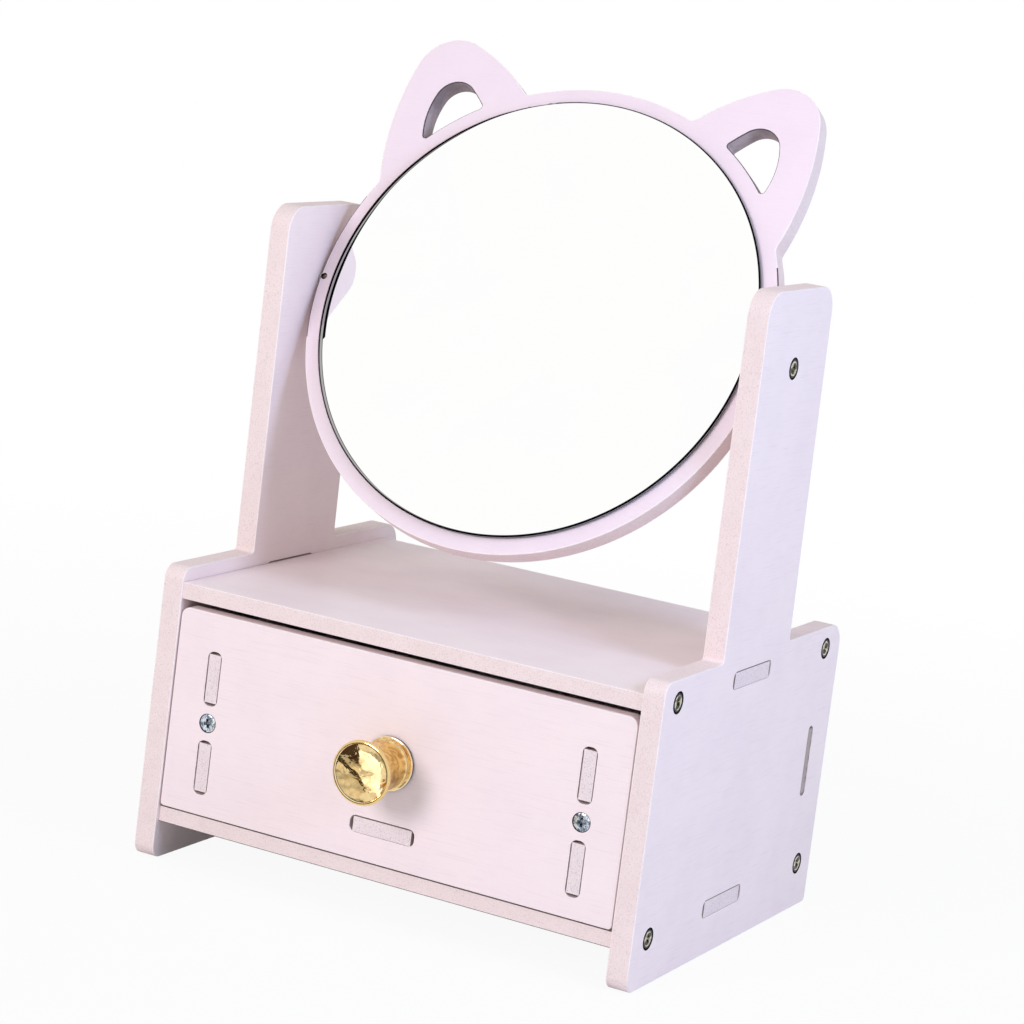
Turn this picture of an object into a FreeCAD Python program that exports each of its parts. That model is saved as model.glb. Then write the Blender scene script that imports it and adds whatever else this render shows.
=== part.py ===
import FreeCAD, Part
import math
import os

# Desk-top vanity mirror: a small case with one drawer, and a round mirror with
# two cat ears that turns between two posts. All boards slot together with through
# tenons, and screws hold the joints.
# X runs across the case, -Y is the side with the drawer, +Z is up. The origin is on
# the table, under the middle of the whole object.

os.makedirs("parts", exist_ok=True)

# ---- case -------------------------------------------------------------------
case_width = 200.0
case_depth = 155.0
panel_thickness = 8.2
board_thickness = 6.0
shoulder_height = 107.8
shelf_top = 102.7
bottom_top = 20.1
shelf_setback = 0.6
bottom_setback = 1.5
shelf_rear = 144.4
bottom_rear = 147.4
arris = 0.4
fit_gap = 0.05
cut_over = 1.0
same_place = 1e-4

# ---- posts ------------------------------------------------------------------
post_height = 237.4
post_front_foot = 46.4
post_front_head = 44.6
post_rear_head = 101.2
post_rear_foot = 104.4
post_corner_radius = 9.5
front_shoulder_radius = 5.0
rear_shoulder_radius = 9.0
front_foot_radius = 5.0
rear_foot_radius = 2.0
inner_corner_radius = 1.5

# ---- joints between the boards ------------------------------------------------
tenon_length = 28.5
tenon_centre = 73.4
tenon_recess = 0.1
slot_gap = 0.25
back_thickness = 3.6
back_setback = 135.7
back_tenon_length = 24.3
back_tenon_drop = 1.0
back_clearance = 0.2

# ---- screws -------------------------------------------------------------------
head_radius = 3.5
head_height = 2.2
shank_radius = 1.75
counterbore_radius = 4.0
counterbore_depth = 2.4
case_screw_length = 26.0
shelf_screw_setbacks = (11.4, 141.0)
bottom_screw_setbacks = (12.6, 142.4)
countersunk_radius = 3.7
countersunk_height = 2.2
countersunk_flat = 0.4
drawer_screw_radius = 1.4
drawer_screw_length = 22.0

# shares of the head radius, head height or shank radius
recess_arm = 0.62
recess_width = 0.3
recess_foot = 0.35
recess_depth = 0.7
crown_height = 0.2
crown_flat = 0.5
point_length = 2.0
point_end = 0.2

# ---- drawer -------------------------------------------------------------------
drawer_setback = 0.5
drawer_side_gap = 0.5
drawer_floor_gap = 0.4
drawer_front_height = 73.6
drawer_board = 5.0
drawer_side_centre = 75.3
drawer_side_height = 67.6
drawer_stop_gap = 0.5
drawer_back_gap = 1.0
drawer_top_radius = 3.5
drawer_foot_radius = 1.5
drawer_tenon_length = 16.3
drawer_tenon_offset = 16.3
drawer_floor_height = 9.55
drawer_floor_board = 5.5
floor_tenon_length = 22.1

# ---- knob ---------------------------------------------------------------------
knob_length = 20.5
knob_flange_radius = 9.7
knob_flange_thickness = 1.6
knob_groove_radius = 8.5
knob_collar_radius = 8.9
knob_collar_end = 3.8
knob_waist_radius = 7.6
knob_waist_out = 12.0
knob_disc_radius = 11.3
knob_disc_thickness = 3.7
knob_dish_radius = 9.6
knob_dish_depth = 1.8
knob_rim_round = 0.8
knob_step = 0.4
knob_waist_bow = 0.24
knob_flare_out = 0.8
knob_screw_radius = 2.0
knob_screw_reach = 9.0
knob_bore_spare = 1.0

# ---- mirror -------------------------------------------------------------------
pivot_height = 209.4
mirror_tilt = 26.5
mirror_radius = 90.8
glass_radius = 84.9
glass_thickness = 2.0
glass_bevel = 0.6
pad_radius = 82.0
pad_thickness = 0.3

# ---- ears, measured from the pivot line and the middle of the mirror ---------
ear_root_low = 26.8
ear_root_high = 67.9
ear_tip_across = 67.2
ear_tip_up = 86.8
ear_tip_radius = 15.8
ear_tip_start = 106.0
ear_tip_end = 12.0
ear_upper_bulge = 1.8
ear_lower_bulge = 3.1
ear_root_fillet = 3.0
ear_hole_low = 40.8
ear_hole_high = 57.0
ear_hole_across = 62.1
ear_hole_up = 76.9
ear_hole_radius = 8.4
ear_hole_start = 130.0
ear_hole_end = 17.0
ear_hole_bulge = 1.2
ear_hole_gap = 0.8
ear_hole_corner = 1.2

# ---- pivots -------------------------------------------------------------------
pivot_radius = 2.0
pivot_running_gap = 0.05
pivot_reach = 12.0
pivot_head_gap = 0.2
washer_radius = 3.5
washer_thickness = 0.7
lock_pin_radius = 0.9
lock_pin_inset = 1.5
lock_pin_well = 1.25
lock_pin_sink = 0.3

# ---- worked out from the sizes above ------------------------------------------
case_front = -(case_depth - knob_length + drawer_setback) / 2.0
half_width = case_width / 2.0
half_inside = half_width - panel_thickness
shelf_middle = shelf_top - board_thickness / 2.0
bottom_middle = bottom_top - board_thickness / 2.0
post_middle = (post_front_head + post_rear_head) / 2.0
mirror_board = panel_thickness
drawer_bottom_edge = bottom_top + drawer_floor_gap
drawer_inner_face = drawer_setback + board_thickness
drawer_back_rear = back_setback - drawer_stop_gap
drawer_back_front = drawer_back_rear - drawer_board
drawer_side_middle = drawer_bottom_edge + drawer_side_height / 2.0
drawer_floor_low = drawer_bottom_edge + drawer_floor_height
drawer_floor_middle = drawer_floor_low + drawer_floor_board / 2.0
back_tenon_middle = (shelf_top - board_thickness + bottom_top) / 2.0 - back_tenon_drop
knob_height = drawer_bottom_edge + drawer_front_height / 2.0
case_screw_places = [(setback, shelf_middle) for setback in shelf_screw_setbacks]
case_screw_places += [(setback, bottom_middle) for setback in bottom_screw_setbacks]

across = FreeCAD.Vector(1, 0, 0)
deep = FreeCAD.Vector(0, 1, 0)
up = FreeCAD.Vector(0, 0, 1)


def at(x, y, z):
    # a point given by its distance behind the front edges of the side panels
    return FreeCAD.Vector(x, case_front + y, z)


def block(x_range, y_range, z_range):
    size = [high - low for low, high in (x_range, y_range, z_range)]
    return Part.makeBox(size[0], size[1], size[2], at(x_range[0], y_range[0], z_range[0]))


def corner_arc(before, corner, after, radius):
    # the arc that rounds one corner of an outline, with its two tangent points
    to_before = (before - corner).normalize()
    to_after = (after - corner).normalize()
    half_angle = to_before.getAngle(to_after) / 2.0
    cut_back = radius / math.tan(half_angle)
    to_centre = (to_before + to_after).normalize()
    middle = corner + to_centre * (radius / math.sin(half_angle) - radius)
    return corner + to_before * cut_back, middle, corner + to_after * cut_back


def rounded_face(corners):
    # a flat face from (point, radius) corners in order round its outline
    arcs = []
    count = len(corners)
    for i, (corner, radius) in enumerate(corners):
        before = corners[i - 1][0]
        after = corners[(i + 1) % count][0]
        arcs.append(corner_arc(before, corner, after, radius))
    edges = []
    for i, (start, middle, end) in enumerate(arcs):
        edges.append(Part.Arc(start, middle, end).toShape())
        edges.append(Part.LineSegment(end, arcs[(i + 1) % count][0]).toShape())
    return Part.Face(Part.Wire(edges))


def edges_on_plane(solid, axis, value):
    # edges that lie wholly in one plane across the given axis
    found = []
    for edge in solid.Edges:
        box = edge.BoundBox
        low = (box.XMin, box.YMin, box.ZMin)[axis]
        high = (box.XMax, box.YMax, box.ZMax)[axis]
        if abs(low - value) < same_place and abs(high - value) < same_place:
            found.append(edge)
    return found


def soften(solid, axis, values):
    # eases the sharp outline edges on the broad faces of a board
    edges = []
    for value in values:
        edges += edges_on_plane(solid, axis, value)
    return solid.makeFillet(arris, edges)


def obround(centre, run, through, length, width, depth):
    # slot with round ends, its middle at centre, cut by a router of its own width
    radius = width / 2.0
    straight = length / 2.0 - radius
    side = run.cross(through)
    a = centre + run * -straight + side * radius
    b = centre + run * straight + side * radius
    c = centre + run * straight + side * -radius
    d = centre + run * -straight + side * -radius
    edges = [
        Part.LineSegment(a, b).toShape(),
        Part.Arc(b, centre + run * (straight + radius), c).toShape(),
        Part.LineSegment(c, d).toShape(),
        Part.Arc(d, centre + run * -(straight + radius), a).toShape(),
    ]
    return Part.Face(Part.Wire(edges)).extrude(through * depth)


def slot_length(tenon, thickness):
    # a slot long enough for the square corners of the tenon to clear its round ends
    radius = thickness / 2.0 + slot_gap
    straight = tenon / 2.0 + fit_gap - math.sqrt(radius**2 - (thickness / 2.0) ** 2)
    return 2.0 * (straight + radius)


def cross_recess(radius, depth):
    # the cross in a screw head, its mouth at z = 0 and its wings narrowing with depth
    arm = radius * recess_arm
    foot = arm * recess_foot
    width = radius * recess_width
    cross = None
    for turn in (0.0, 90.0):
        mouth = Part.makePolygon([
            FreeCAD.Vector(-arm, -width / 2.0, 0.0),
            FreeCAD.Vector(arm, -width / 2.0, 0.0),
            FreeCAD.Vector(foot, -width / 2.0, -depth),
            FreeCAD.Vector(-foot, -width / 2.0, -depth),
            FreeCAD.Vector(-arm, -width / 2.0, 0.0),
        ])
        wing = Part.Face(mouth).extrude(FreeCAD.Vector(0, width, 0))
        wing.rotate(FreeCAD.Vector(), up, turn)
        cross = wing if cross is None else cross.fuse(wing)
    return cross


def pointed_shank(radius, top, length):
    # plain shank below z = top that ends in a short point
    point = radius * point_length
    shank = Part.makeCylinder(radius, length - point, FreeCAD.Vector(0, 0, top), -up)
    tip_start = FreeCAD.Vector(0, 0, top - length + point)
    return shank.fuse(Part.makeCone(radius, radius * point_end, point, tip_start, -up))


def pan_screw(head, height, radius, length):
    # domed head with its top at z = 0; the shank hangs below the head
    crown = height * crown_height
    rim = FreeCAD.Vector(head, 0, -crown)
    crest = FreeCAD.Vector(head * crown_flat, 0, 0)
    bulge = FreeCAD.Vector(crown, 0, head - crest.x).normalize() * crown / 4.0
    shoulder = (rim + crest) * 0.5 + bulge
    edges = [
        Part.LineSegment(FreeCAD.Vector(0, 0, -height), FreeCAD.Vector(head, 0, -height)).toShape(),
        Part.LineSegment(FreeCAD.Vector(head, 0, -height), rim).toShape(),
        Part.Arc(rim, shoulder, crest).toShape(),
        Part.LineSegment(crest, FreeCAD.Vector()).toShape(),
        Part.LineSegment(FreeCAD.Vector(), FreeCAD.Vector(0, 0, -height)).toShape(),
    ]
    head_solid = Part.Face(Part.Wire(edges)).revolve(FreeCAD.Vector(), up, 360)
    screw = head_solid.fuse(pointed_shank(radius, -height, length))
    return screw.cut(cross_recess(head, height * recess_depth)).removeSplitter()


def countersunk_screw(head, height, radius, length):
    # flat head that fits a conical seat, its top at z = 0
    flat = countersunk_flat
    disc = Part.makeCylinder(head, flat, FreeCAD.Vector(0, 0, -flat))
    cone = Part.makeCone(head, radius, height - flat, FreeCAD.Vector(0, 0, -flat), -up)
    screw = disc.fuse(cone).fuse(pointed_shank(radius, -height, length))
    return screw.cut(cross_recess(head, height * recess_depth)).removeSplitter()


def place(solid, position, facing):
    # moves a screw so that its head faces the given way
    turn = FreeCAD.Rotation(up, facing)
    moved = solid.copy()
    moved.Placement = FreeCAD.Placement(position, turn)
    return moved


def hole(position, direction, radius, depth):
    return Part.makeCylinder(radius, depth, position, direction)


# ---- case boards ----------------------------------------------------------------
def panel_outline(x):
    corners = [
        (at(x, 0, 0), front_foot_radius),
        (at(x, 0, shoulder_height), front_shoulder_radius),
        (at(x, post_front_foot, shoulder_height), inner_corner_radius),
        (at(x, post_front_head, post_height), post_corner_radius),
        (at(x, post_rear_head, post_height), post_corner_radius),
        (at(x, post_rear_foot, shoulder_height), inner_corner_radius),
        (at(x, case_depth, shoulder_height), rear_shoulder_radius),
        (at(x, case_depth, 0), rear_foot_radius),
    ]
    return rounded_face(corners)


def panel_slots(side):
    # through slots for the shelf, the bottom board and the back panel
    inner = side * half_inside
    inward = across * side
    width = board_thickness + 2.0 * slot_gap
    length = slot_length(tenon_length, board_thickness)
    cuts = []
    for height in (shelf_middle, bottom_middle):
        middle = at(inner, tenon_centre, height)
        cuts.append(obround(middle, deep, inward, length, width, panel_thickness))
    back_middle = back_setback + back_thickness / 2.0
    length = slot_length(back_tenon_length, back_thickness)
    middle = at(inner, back_middle, back_tenon_middle)
    cuts.append(obround(middle, up, inward, length, back_thickness + 2.0 * slot_gap, panel_thickness))
    return cuts


def panel_holes(side):
    # counterbored screw holes, and the hole that the mirror's pivot screw turns in
    outer = side * half_width
    inward = across * -side
    cuts = []
    for setback, height in case_screw_places:
        cuts.append(hole(at(outer, setback, height), inward, counterbore_radius, counterbore_depth))
        cuts.append(hole(at(outer, setback, height), inward, shank_radius + fit_gap, panel_thickness))
    pivot = at(outer, post_middle, pivot_height)
    cuts.append(hole(pivot, inward, counterbore_radius, counterbore_depth))
    cuts.append(hole(pivot, inward, pivot_radius + pivot_running_gap, panel_thickness))
    return cuts


def side_panel(side):
    inner = side * half_inside
    outer = side * half_width
    panel = panel_outline(inner).extrude(across * side * panel_thickness)
    panel = soften(panel, 0, (inner, outer))
    return panel.cut(panel_slots(side) + panel_holes(side))


def end_tenons(low, high, y_middle, depth):
    # the two through tenons on the ends of a board that spans the case
    tenons = []
    reach = half_width - tenon_recess
    y_range = (y_middle - depth / 2.0, y_middle + depth / 2.0)
    for side in (-1, 1):
        x_range = sorted((side * half_inside, side * reach))
        tenons.append(block(x_range, y_range, (low, high)))
    return tenons


def pilot_holes(height, setbacks):
    # blind holes for the case screws in the ends of a board
    cuts = []
    depth = case_screw_length - (panel_thickness - counterbore_depth)
    for side in (-1, 1):
        for setback in setbacks:
            start = at(side * half_inside, setback, height)
            cuts.append(hole(start, across * -side, shank_radius + fit_gap, depth + fit_gap))
    return cuts


def spanning_board(top, front, rear, screw_setbacks):
    low = top - board_thickness
    board = block((-half_inside, half_inside), (front, rear), (low, top))
    front_edges = edges_on_plane(board, 1, case_front + front)
    board = board.makeFillet(arris, [edge for edge in front_edges if edge.Length > case_depth])
    board = board.fuse(end_tenons(low, top, tenon_centre, tenon_length))
    middle = top - board_thickness / 2.0
    return board.cut(pilot_holes(middle, screw_setbacks)).removeSplitter()


def back_panel():
    low = bottom_top + back_clearance
    high = shelf_top - board_thickness - back_clearance
    y_range = (back_setback, back_setback + back_thickness)
    panel = block((-half_inside, half_inside), y_range, (low, high))
    half = back_tenon_length / 2.0
    tenon_low, tenon_high = back_tenon_middle - half, back_tenon_middle + half
    tenons = end_tenons(tenon_low, tenon_high, back_setback + back_thickness / 2.0, back_thickness)
    return panel.fuse(tenons).removeSplitter()


def case_screws(side):
    screw = pan_screw(head_radius, head_height, shank_radius, case_screw_length)
    seat = half_width - counterbore_depth
    top = side * (seat + head_height)
    placed = [place(screw, at(top, y, z), across * side) for y, z in case_screw_places]
    return Part.makeCompound(placed)


# ---- drawer -----------------------------------------------------------------------
def drawer_tenon_heights():
    return (drawer_side_middle - drawer_tenon_offset, drawer_side_middle + drawer_tenon_offset)


def drawer_end_cuts(face, through, thickness):
    # slots for the tenons of the drawer sides and floor, and the screws' seats;
    # face is where the screw heads are, through runs into the board
    cuts = []
    width = drawer_board + 2.0 * slot_gap
    length = slot_length(drawer_tenon_length, drawer_board)
    for side in (-1, 1):
        x = side * drawer_side_centre
        for height in drawer_tenon_heights():
            cuts.append(obround(at(x, face, height), up, through, length, width, thickness))
        top = at(x, face, drawer_side_middle)
        seat = top + through * countersunk_flat
        depth = countersunk_height - countersunk_flat
        cuts.append(hole(top, through, countersunk_radius, countersunk_flat))
        cuts.append(Part.makeCone(countersunk_radius, drawer_screw_radius, depth, seat, through))
        cuts.append(hole(top, through, drawer_screw_radius + fit_gap, thickness))
    length = slot_length(floor_tenon_length, drawer_floor_board)
    middle = at(0, face, drawer_floor_middle)
    cuts.append(obround(middle, across, through, length, drawer_floor_board + 2.0 * slot_gap, thickness))
    return cuts


def drawer_front():
    half = half_inside - drawer_side_gap
    low = drawer_bottom_edge
    high = low + drawer_front_height
    corners = [
        (at(-half, drawer_setback, low), drawer_foot_radius),
        (at(half, drawer_setback, low), drawer_foot_radius),
        (at(half, drawer_setback, high), drawer_top_radius),
        (at(-half, drawer_setback, high), drawer_top_radius),
    ]
    board = rounded_face(corners).extrude(deep * board_thickness)
    board = soften(board, 1, (case_front + drawer_setback, case_front + drawer_inner_face))
    board = board.cut(drawer_end_cuts(drawer_setback, deep, board_thickness))
    knob_hole = hole(at(0, drawer_setback, knob_height), deep, knob_screw_radius + fit_gap, board_thickness)
    return board.cut(knob_hole)


def drawer_back():
    half = half_inside - drawer_back_gap
    z_range = (drawer_bottom_edge, drawer_bottom_edge + drawer_side_height)
    board = block((-half, half), (drawer_back_front, drawer_back_rear), z_range)
    return board.cut(drawer_end_cuts(drawer_back_rear, -deep, drawer_board))


def drawer_side(side):
    side_middle, half_board = side * drawer_side_centre, drawer_board / 2.0
    x_range = (side_middle - half_board, side_middle + half_board)
    z_range = (drawer_bottom_edge, drawer_bottom_edge + drawer_side_height)
    board = block(x_range, (drawer_inner_face, drawer_back_front), z_range)
    half = drawer_tenon_length / 2.0
    y_range = (drawer_setback + tenon_recess, drawer_back_rear - tenon_recess)
    tenons = [block(x_range, y_range, (height - half, height + half)) for height in drawer_tenon_heights()]
    board = board.fuse(tenons)
    middle = (drawer_inner_face + drawer_back_front) / 2.0
    inner = side * (drawer_side_centre - drawer_board / 2.0)
    length = slot_length(floor_tenon_length, drawer_floor_board)
    width = drawer_floor_board + 2.0 * slot_gap
    outward = across * side
    cuts = [obround(at(inner, middle, drawer_floor_middle), deep, outward, length, width, drawer_board)]
    x = side * drawer_side_centre
    reach = drawer_screw_length + countersunk_height
    front = at(x, drawer_setback, drawer_side_middle)
    rear = at(x, drawer_back_rear, drawer_side_middle)
    cuts.append(hole(front, deep, drawer_screw_radius + fit_gap, reach + fit_gap))
    cuts.append(hole(rear, -deep, drawer_screw_radius + fit_gap, reach + fit_gap))
    return board.cut(cuts).removeSplitter()


def drawer_bottom():
    inner = drawer_side_centre - drawer_board / 2.0
    z_range = (drawer_floor_low, drawer_floor_low + drawer_floor_board)
    floor = block((-inner, inner), (drawer_inner_face, drawer_back_front), z_range)
    half = floor_tenon_length / 2.0
    y_range = (drawer_setback + tenon_recess, drawer_back_rear - tenon_recess)
    long_tenons = block((-half, half), y_range, z_range)
    middle = (drawer_inner_face + drawer_back_front) / 2.0
    reach = inner + drawer_board - tenon_recess
    side_tenons = block((-reach, reach), (middle - half, middle + half), z_range)
    return floor.fuse([long_tenons, side_tenons]).removeSplitter()


def drawer_screws(face, facing):
    head = (countersunk_radius, countersunk_height)
    screw = countersunk_screw(*head, drawer_screw_radius, drawer_screw_length)
    placed = []
    for side in (-1, 1):
        top = at(side * drawer_side_centre, face, drawer_side_middle)
        placed.append(place(screw, top, facing))
    return Part.makeCompound(placed)


def line(*points):
    return [Part.LineSegment(start, end).toShape() for start, end in zip(points, points[1:])]


def arc(start, middle, end):
    return [Part.Arc(start, middle, end).toShape()]


def dish_arc(start, depth):
    # shallow round hollow from its rim to the middle of the knob
    radius = (start.x**2 + depth**2) / (2.0 * depth)
    half = start.x / 2.0
    sunk = depth - (radius - math.sqrt(radius**2 - half**2))
    return arc(start, start + FreeCAD.Vector(-half, 0, -sunk), start + FreeCAD.Vector(-start.x, 0, -depth))


def knob_profile():
    # half section of the knob: radius in X, distance out from the drawer in Z
    def p(radius, out):
        return FreeCAD.Vector(radius, 0, out)

    step = knob_step
    quarter = 1.0 - math.sqrt(0.5)
    flange = knob_flange_thickness
    under_disc = knob_length - knob_disc_thickness
    disc_edge = knob_length - knob_rim_round
    rim_inner = knob_dish_radius + step
    foot = p(knob_flange_radius, flange - step)
    foot_round = p(knob_flange_radius - step * quarter, flange - step * quarter)
    neck = p(knob_groove_radius, knob_collar_end + step)
    neck_middle = p(knob_waist_radius + knob_waist_bow, (knob_collar_end + knob_waist_out) / 2.0)
    waist = p(knob_waist_radius, knob_waist_out)
    flare = p(knob_waist_radius + knob_flare_out, (knob_waist_out + under_disc) / 2.0 + step)
    disc_back = p(knob_disc_radius - step, under_disc)
    dish_rim = p(knob_dish_radius, knob_length - step)
    edges = line(p(0, 0), p(knob_flange_radius, 0), foot)
    edges += arc(foot, foot_round, p(knob_flange_radius - step, flange))
    edges += line(
        p(knob_flange_radius - step, flange),
        p(knob_groove_radius, flange + step * 0.5),
        p(knob_groove_radius, flange + step),
        p(knob_collar_radius, flange + step * 2.0),
        p(knob_collar_radius, knob_collar_end),
        neck,
    )
    edges += arc(neck, neck_middle, waist)
    edges += arc(waist, flare, disc_back)
    edges += line(disc_back, p(knob_disc_radius, under_disc + step), p(knob_disc_radius, disc_edge))
    edges += arc(
        p(knob_disc_radius, disc_edge),
        p(knob_disc_radius - knob_rim_round * quarter, knob_length - knob_rim_round * quarter),
        p(knob_disc_radius - knob_rim_round, knob_length),
    )
    edges += line(p(knob_disc_radius - knob_rim_round, knob_length), p(rim_inner, knob_length), dish_rim)
    edges += dish_arc(dish_rim, knob_dish_depth - step)
    edges += line(p(0, knob_length - knob_dish_depth), p(0, 0))
    return Part.Face(Part.Wire(edges))


def drawer_knob():
    knob = knob_profile().revolve(FreeCAD.Vector(), up, 360)
    bore = hole(FreeCAD.Vector(), up, knob_screw_radius + fit_gap, knob_screw_reach + knob_bore_spare)
    return place(knob.cut(bore), at(0, drawer_setback, knob_height), -deep)


def knob_screw():
    length = board_thickness + knob_screw_reach
    screw = pan_screw(head_radius, head_height, knob_screw_radius, length)
    return place(screw, at(0, drawer_inner_face + head_height, knob_height), deep)


# ---- mirror: drawn upright about its pivot line, then tipped back ---------------
def on_ring(radius, degrees):
    angle = math.radians(degrees)
    return FreeCAD.Vector(radius * math.cos(angle), 0, radius * math.sin(angle))


def bowed(start, end, bulge):
    # arc from start to end that bows to the left of the way it runs
    chord = end - start
    side = FreeCAD.Vector(-chord.z, 0, chord.x).normalize()
    return Part.Arc(start, (start + end) * 0.5 + side * bulge, end).toShape()


def tip_arc(centre, radius, start, end):
    # the round tip of an ear, with its first and last points
    first = centre + on_ring(radius, start)
    middle = centre + on_ring(radius, (start + end) / 2.0)
    last = centre + on_ring(radius, end)
    return first, Part.Arc(first, middle, last).toShape(), last


def ear_outline():
    # one ear with its root sunk well inside the round of the mirror
    root_high = on_ring(mirror_radius, ear_root_high)
    root_low = on_ring(mirror_radius, ear_root_low)
    inside = on_ring(mirror_radius * 0.5, (ear_root_high + ear_root_low) / 2.0)
    centre = FreeCAD.Vector(ear_tip_across, 0, ear_tip_up)
    tip_high, tip, tip_low = tip_arc(centre, ear_tip_radius, ear_tip_start, ear_tip_end)
    edges = [
        bowed(root_high, tip_high, ear_upper_bulge),
        tip,
        bowed(tip_low, root_low, ear_lower_bulge),
        Part.LineSegment(root_low, inside).toShape(),
        Part.LineSegment(inside, root_high).toShape(),
    ]
    return Part.Face(Part.Wire(edges))


def ear_hole_ends():
    radius = mirror_radius + ear_hole_gap
    return on_ring(radius, ear_hole_low), on_ring(radius, ear_hole_high)


def ear_hole_outline():
    # the cut-out in an ear: its inner side follows the round of the mirror
    low, high = ear_hole_ends()
    middle = on_ring(mirror_radius + ear_hole_gap, (ear_hole_low + ear_hole_high) / 2.0)
    centre = FreeCAD.Vector(ear_hole_across, 0, ear_hole_up)
    tip_high, tip, tip_low = tip_arc(centre, ear_hole_radius, ear_hole_start, ear_hole_end)
    edges = [
        bowed(high, tip_high, ear_hole_bulge),
        tip,
        bowed(tip_low, low, ear_hole_bulge),
        Part.Arc(low, middle, high).toShape(),
    ]
    return Part.Face(Part.Wire(edges))


def upright_edges(solid, places):
    # edges that run through the board at the given places on its face
    found = []
    for edge in solid.Edges:
        if len(edge.Vertexes) != 2:
            continue
        first, last = (vertex.Point for vertex in edge.Vertexes)
        if abs(first.x - last.x) > same_place or abs(first.z - last.z) > same_place:
            continue
        if any(math.hypot(first.x - spot.x, first.z - spot.z) < 0.05 for spot in places):
            found.append(edge)
    return found


def mirrored(shape):
    return shape.mirror(FreeCAD.Vector(), across)


def frame_blank():
    through = deep * mirror_board
    front = FreeCAD.Vector(0, -mirror_board / 2.0, 0)
    disc = Part.makeCylinder(mirror_radius, mirror_board, front, deep)
    ear = ear_outline().extrude(through)
    ear.translate(front)
    blank = disc.fuse([ear, mirrored(ear)]).removeSplitter()
    roots = []
    for degrees in (ear_root_low, ear_root_high):
        spot = on_ring(mirror_radius, degrees)
        roots.append(spot)
        roots.append(FreeCAD.Vector(-spot.x, 0, spot.z))
    return blank.makeFillet(ear_root_fillet, upright_edges(blank, roots))


def ear_hole():
    cut = ear_hole_outline().extrude(deep * mirror_board)
    cut.translate(FreeCAD.Vector(0, -mirror_board / 2.0, 0))
    return cut.makeFillet(ear_hole_corner, upright_edges(cut, ear_hole_ends()))


def lock_pin_place(side):
    return FreeCAD.Vector(side * (mirror_radius - lock_pin_inset), -mirror_board / 2.0, 0)


def mirror_frame():
    frame = frame_blank()
    hole_right = ear_hole()
    frame = frame.cut([hole_right, mirrored(hole_right)])
    frame = soften(frame, 1, (-mirror_board / 2.0, mirror_board / 2.0))
    cuts = []
    well_depth = mirror_board / 2.0 - pivot_radius + fit_gap
    pin_depth = mirror_board - lock_pin_sink
    for side in (-1, 1):
        edge = FreeCAD.Vector(side * (mirror_radius + cut_over), 0, 0)
        cuts.append(hole(edge, across * -side, pivot_radius + fit_gap, pivot_reach + cut_over))
        cuts.append(hole(lock_pin_place(side), deep, lock_pin_well, well_depth))
        cuts.append(hole(lock_pin_place(side), deep, lock_pin_radius + fit_gap, pin_depth))
    return frame.cut(cuts)


def mirror_pad():
    front = -mirror_board / 2.0 - pad_thickness
    return Part.makeCylinder(pad_radius, pad_thickness, FreeCAD.Vector(0, front, 0), deep)


def mirror_glass():
    front = -mirror_board / 2.0 - pad_thickness - glass_thickness
    glass = Part.makeCylinder(glass_radius, glass_thickness, FreeCAD.Vector(0, front, 0), deep)
    return glass.makeChamfer(glass_bevel, edges_on_plane(glass, 1, front))


def pivot_screw(side):
    # the screw sits in the frame and its plain neck turns in the post
    under_head = half_width - counterbore_depth + pivot_head_gap
    length = under_head - mirror_radius + pivot_reach
    screw = pan_screw(head_radius, head_height, pivot_radius, length)
    top = FreeCAD.Vector(side * (under_head + head_height), 0, 0)
    screw = place(screw, top, across * side)
    cross_bore = hole(lock_pin_place(side), deep, lock_pin_radius + fit_gap, mirror_board)
    return screw.cut(cross_bore)


def pivot_washer(side):
    start = FreeCAD.Vector(side * mirror_radius, 0, 0)
    ring = Part.makeCylinder(washer_radius, washer_thickness, start, across * side)
    return ring.cut(hole(start, across * side, pivot_radius + fit_gap, washer_thickness))


def lock_pin(side):
    start = lock_pin_place(side) + deep * lock_pin_sink
    length = mirror_board - 2.0 * lock_pin_sink
    pin = Part.makeCylinder(lock_pin_radius, length, start, deep)
    return pin.makeFillet(lock_pin_radius * 0.5, edges_on_plane(pin, 1, start.y))


def tipped(solid):
    # tips a mirror piece back about the pivot line and lifts it to the posts
    moved = solid.copy()
    turn = FreeCAD.Rotation(across, -mirror_tilt)
    moved.Placement = FreeCAD.Placement(at(0, post_middle, pivot_height), turn).multiply(moved.Placement)
    return moved


# ---- all the nodes -------------------------------------------------------------
def build():
    nodes = {
        "shelf_board": spanning_board(shelf_top, shelf_setback, shelf_rear, shelf_screw_setbacks),
        "bottom_board": spanning_board(bottom_top, bottom_setback, bottom_rear, bottom_screw_setbacks),
        "back_panel": back_panel(),
        "drawer_front": drawer_front(),
        "drawer_back": drawer_back(),
        "drawer_bottom": drawer_bottom(),
        "drawer_screws_front": drawer_screws(drawer_setback, -deep),
        "drawer_screws_back": drawer_screws(drawer_back_rear, deep),
        "drawer_knob": drawer_knob(),
        "knob_screw": knob_screw(),
        "mirror_frame": tipped(mirror_frame()),
        "mirror_pad": tipped(mirror_pad()),
        "mirror_glass": tipped(mirror_glass()),
    }
    for name, side in (("left", -1), ("right", 1)):
        nodes["side_panel_" + name] = side_panel(side)
        nodes["case_screws_" + name] = case_screws(side)
        nodes["drawer_side_" + name] = drawer_side(side)
        nodes["pivot_screw_" + name] = tipped(pivot_screw(side))
        nodes["pivot_washer_" + name] = tipped(pivot_washer(side))
        nodes["lock_pin_" + name] = tipped(lock_pin(side))
    return nodes


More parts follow.
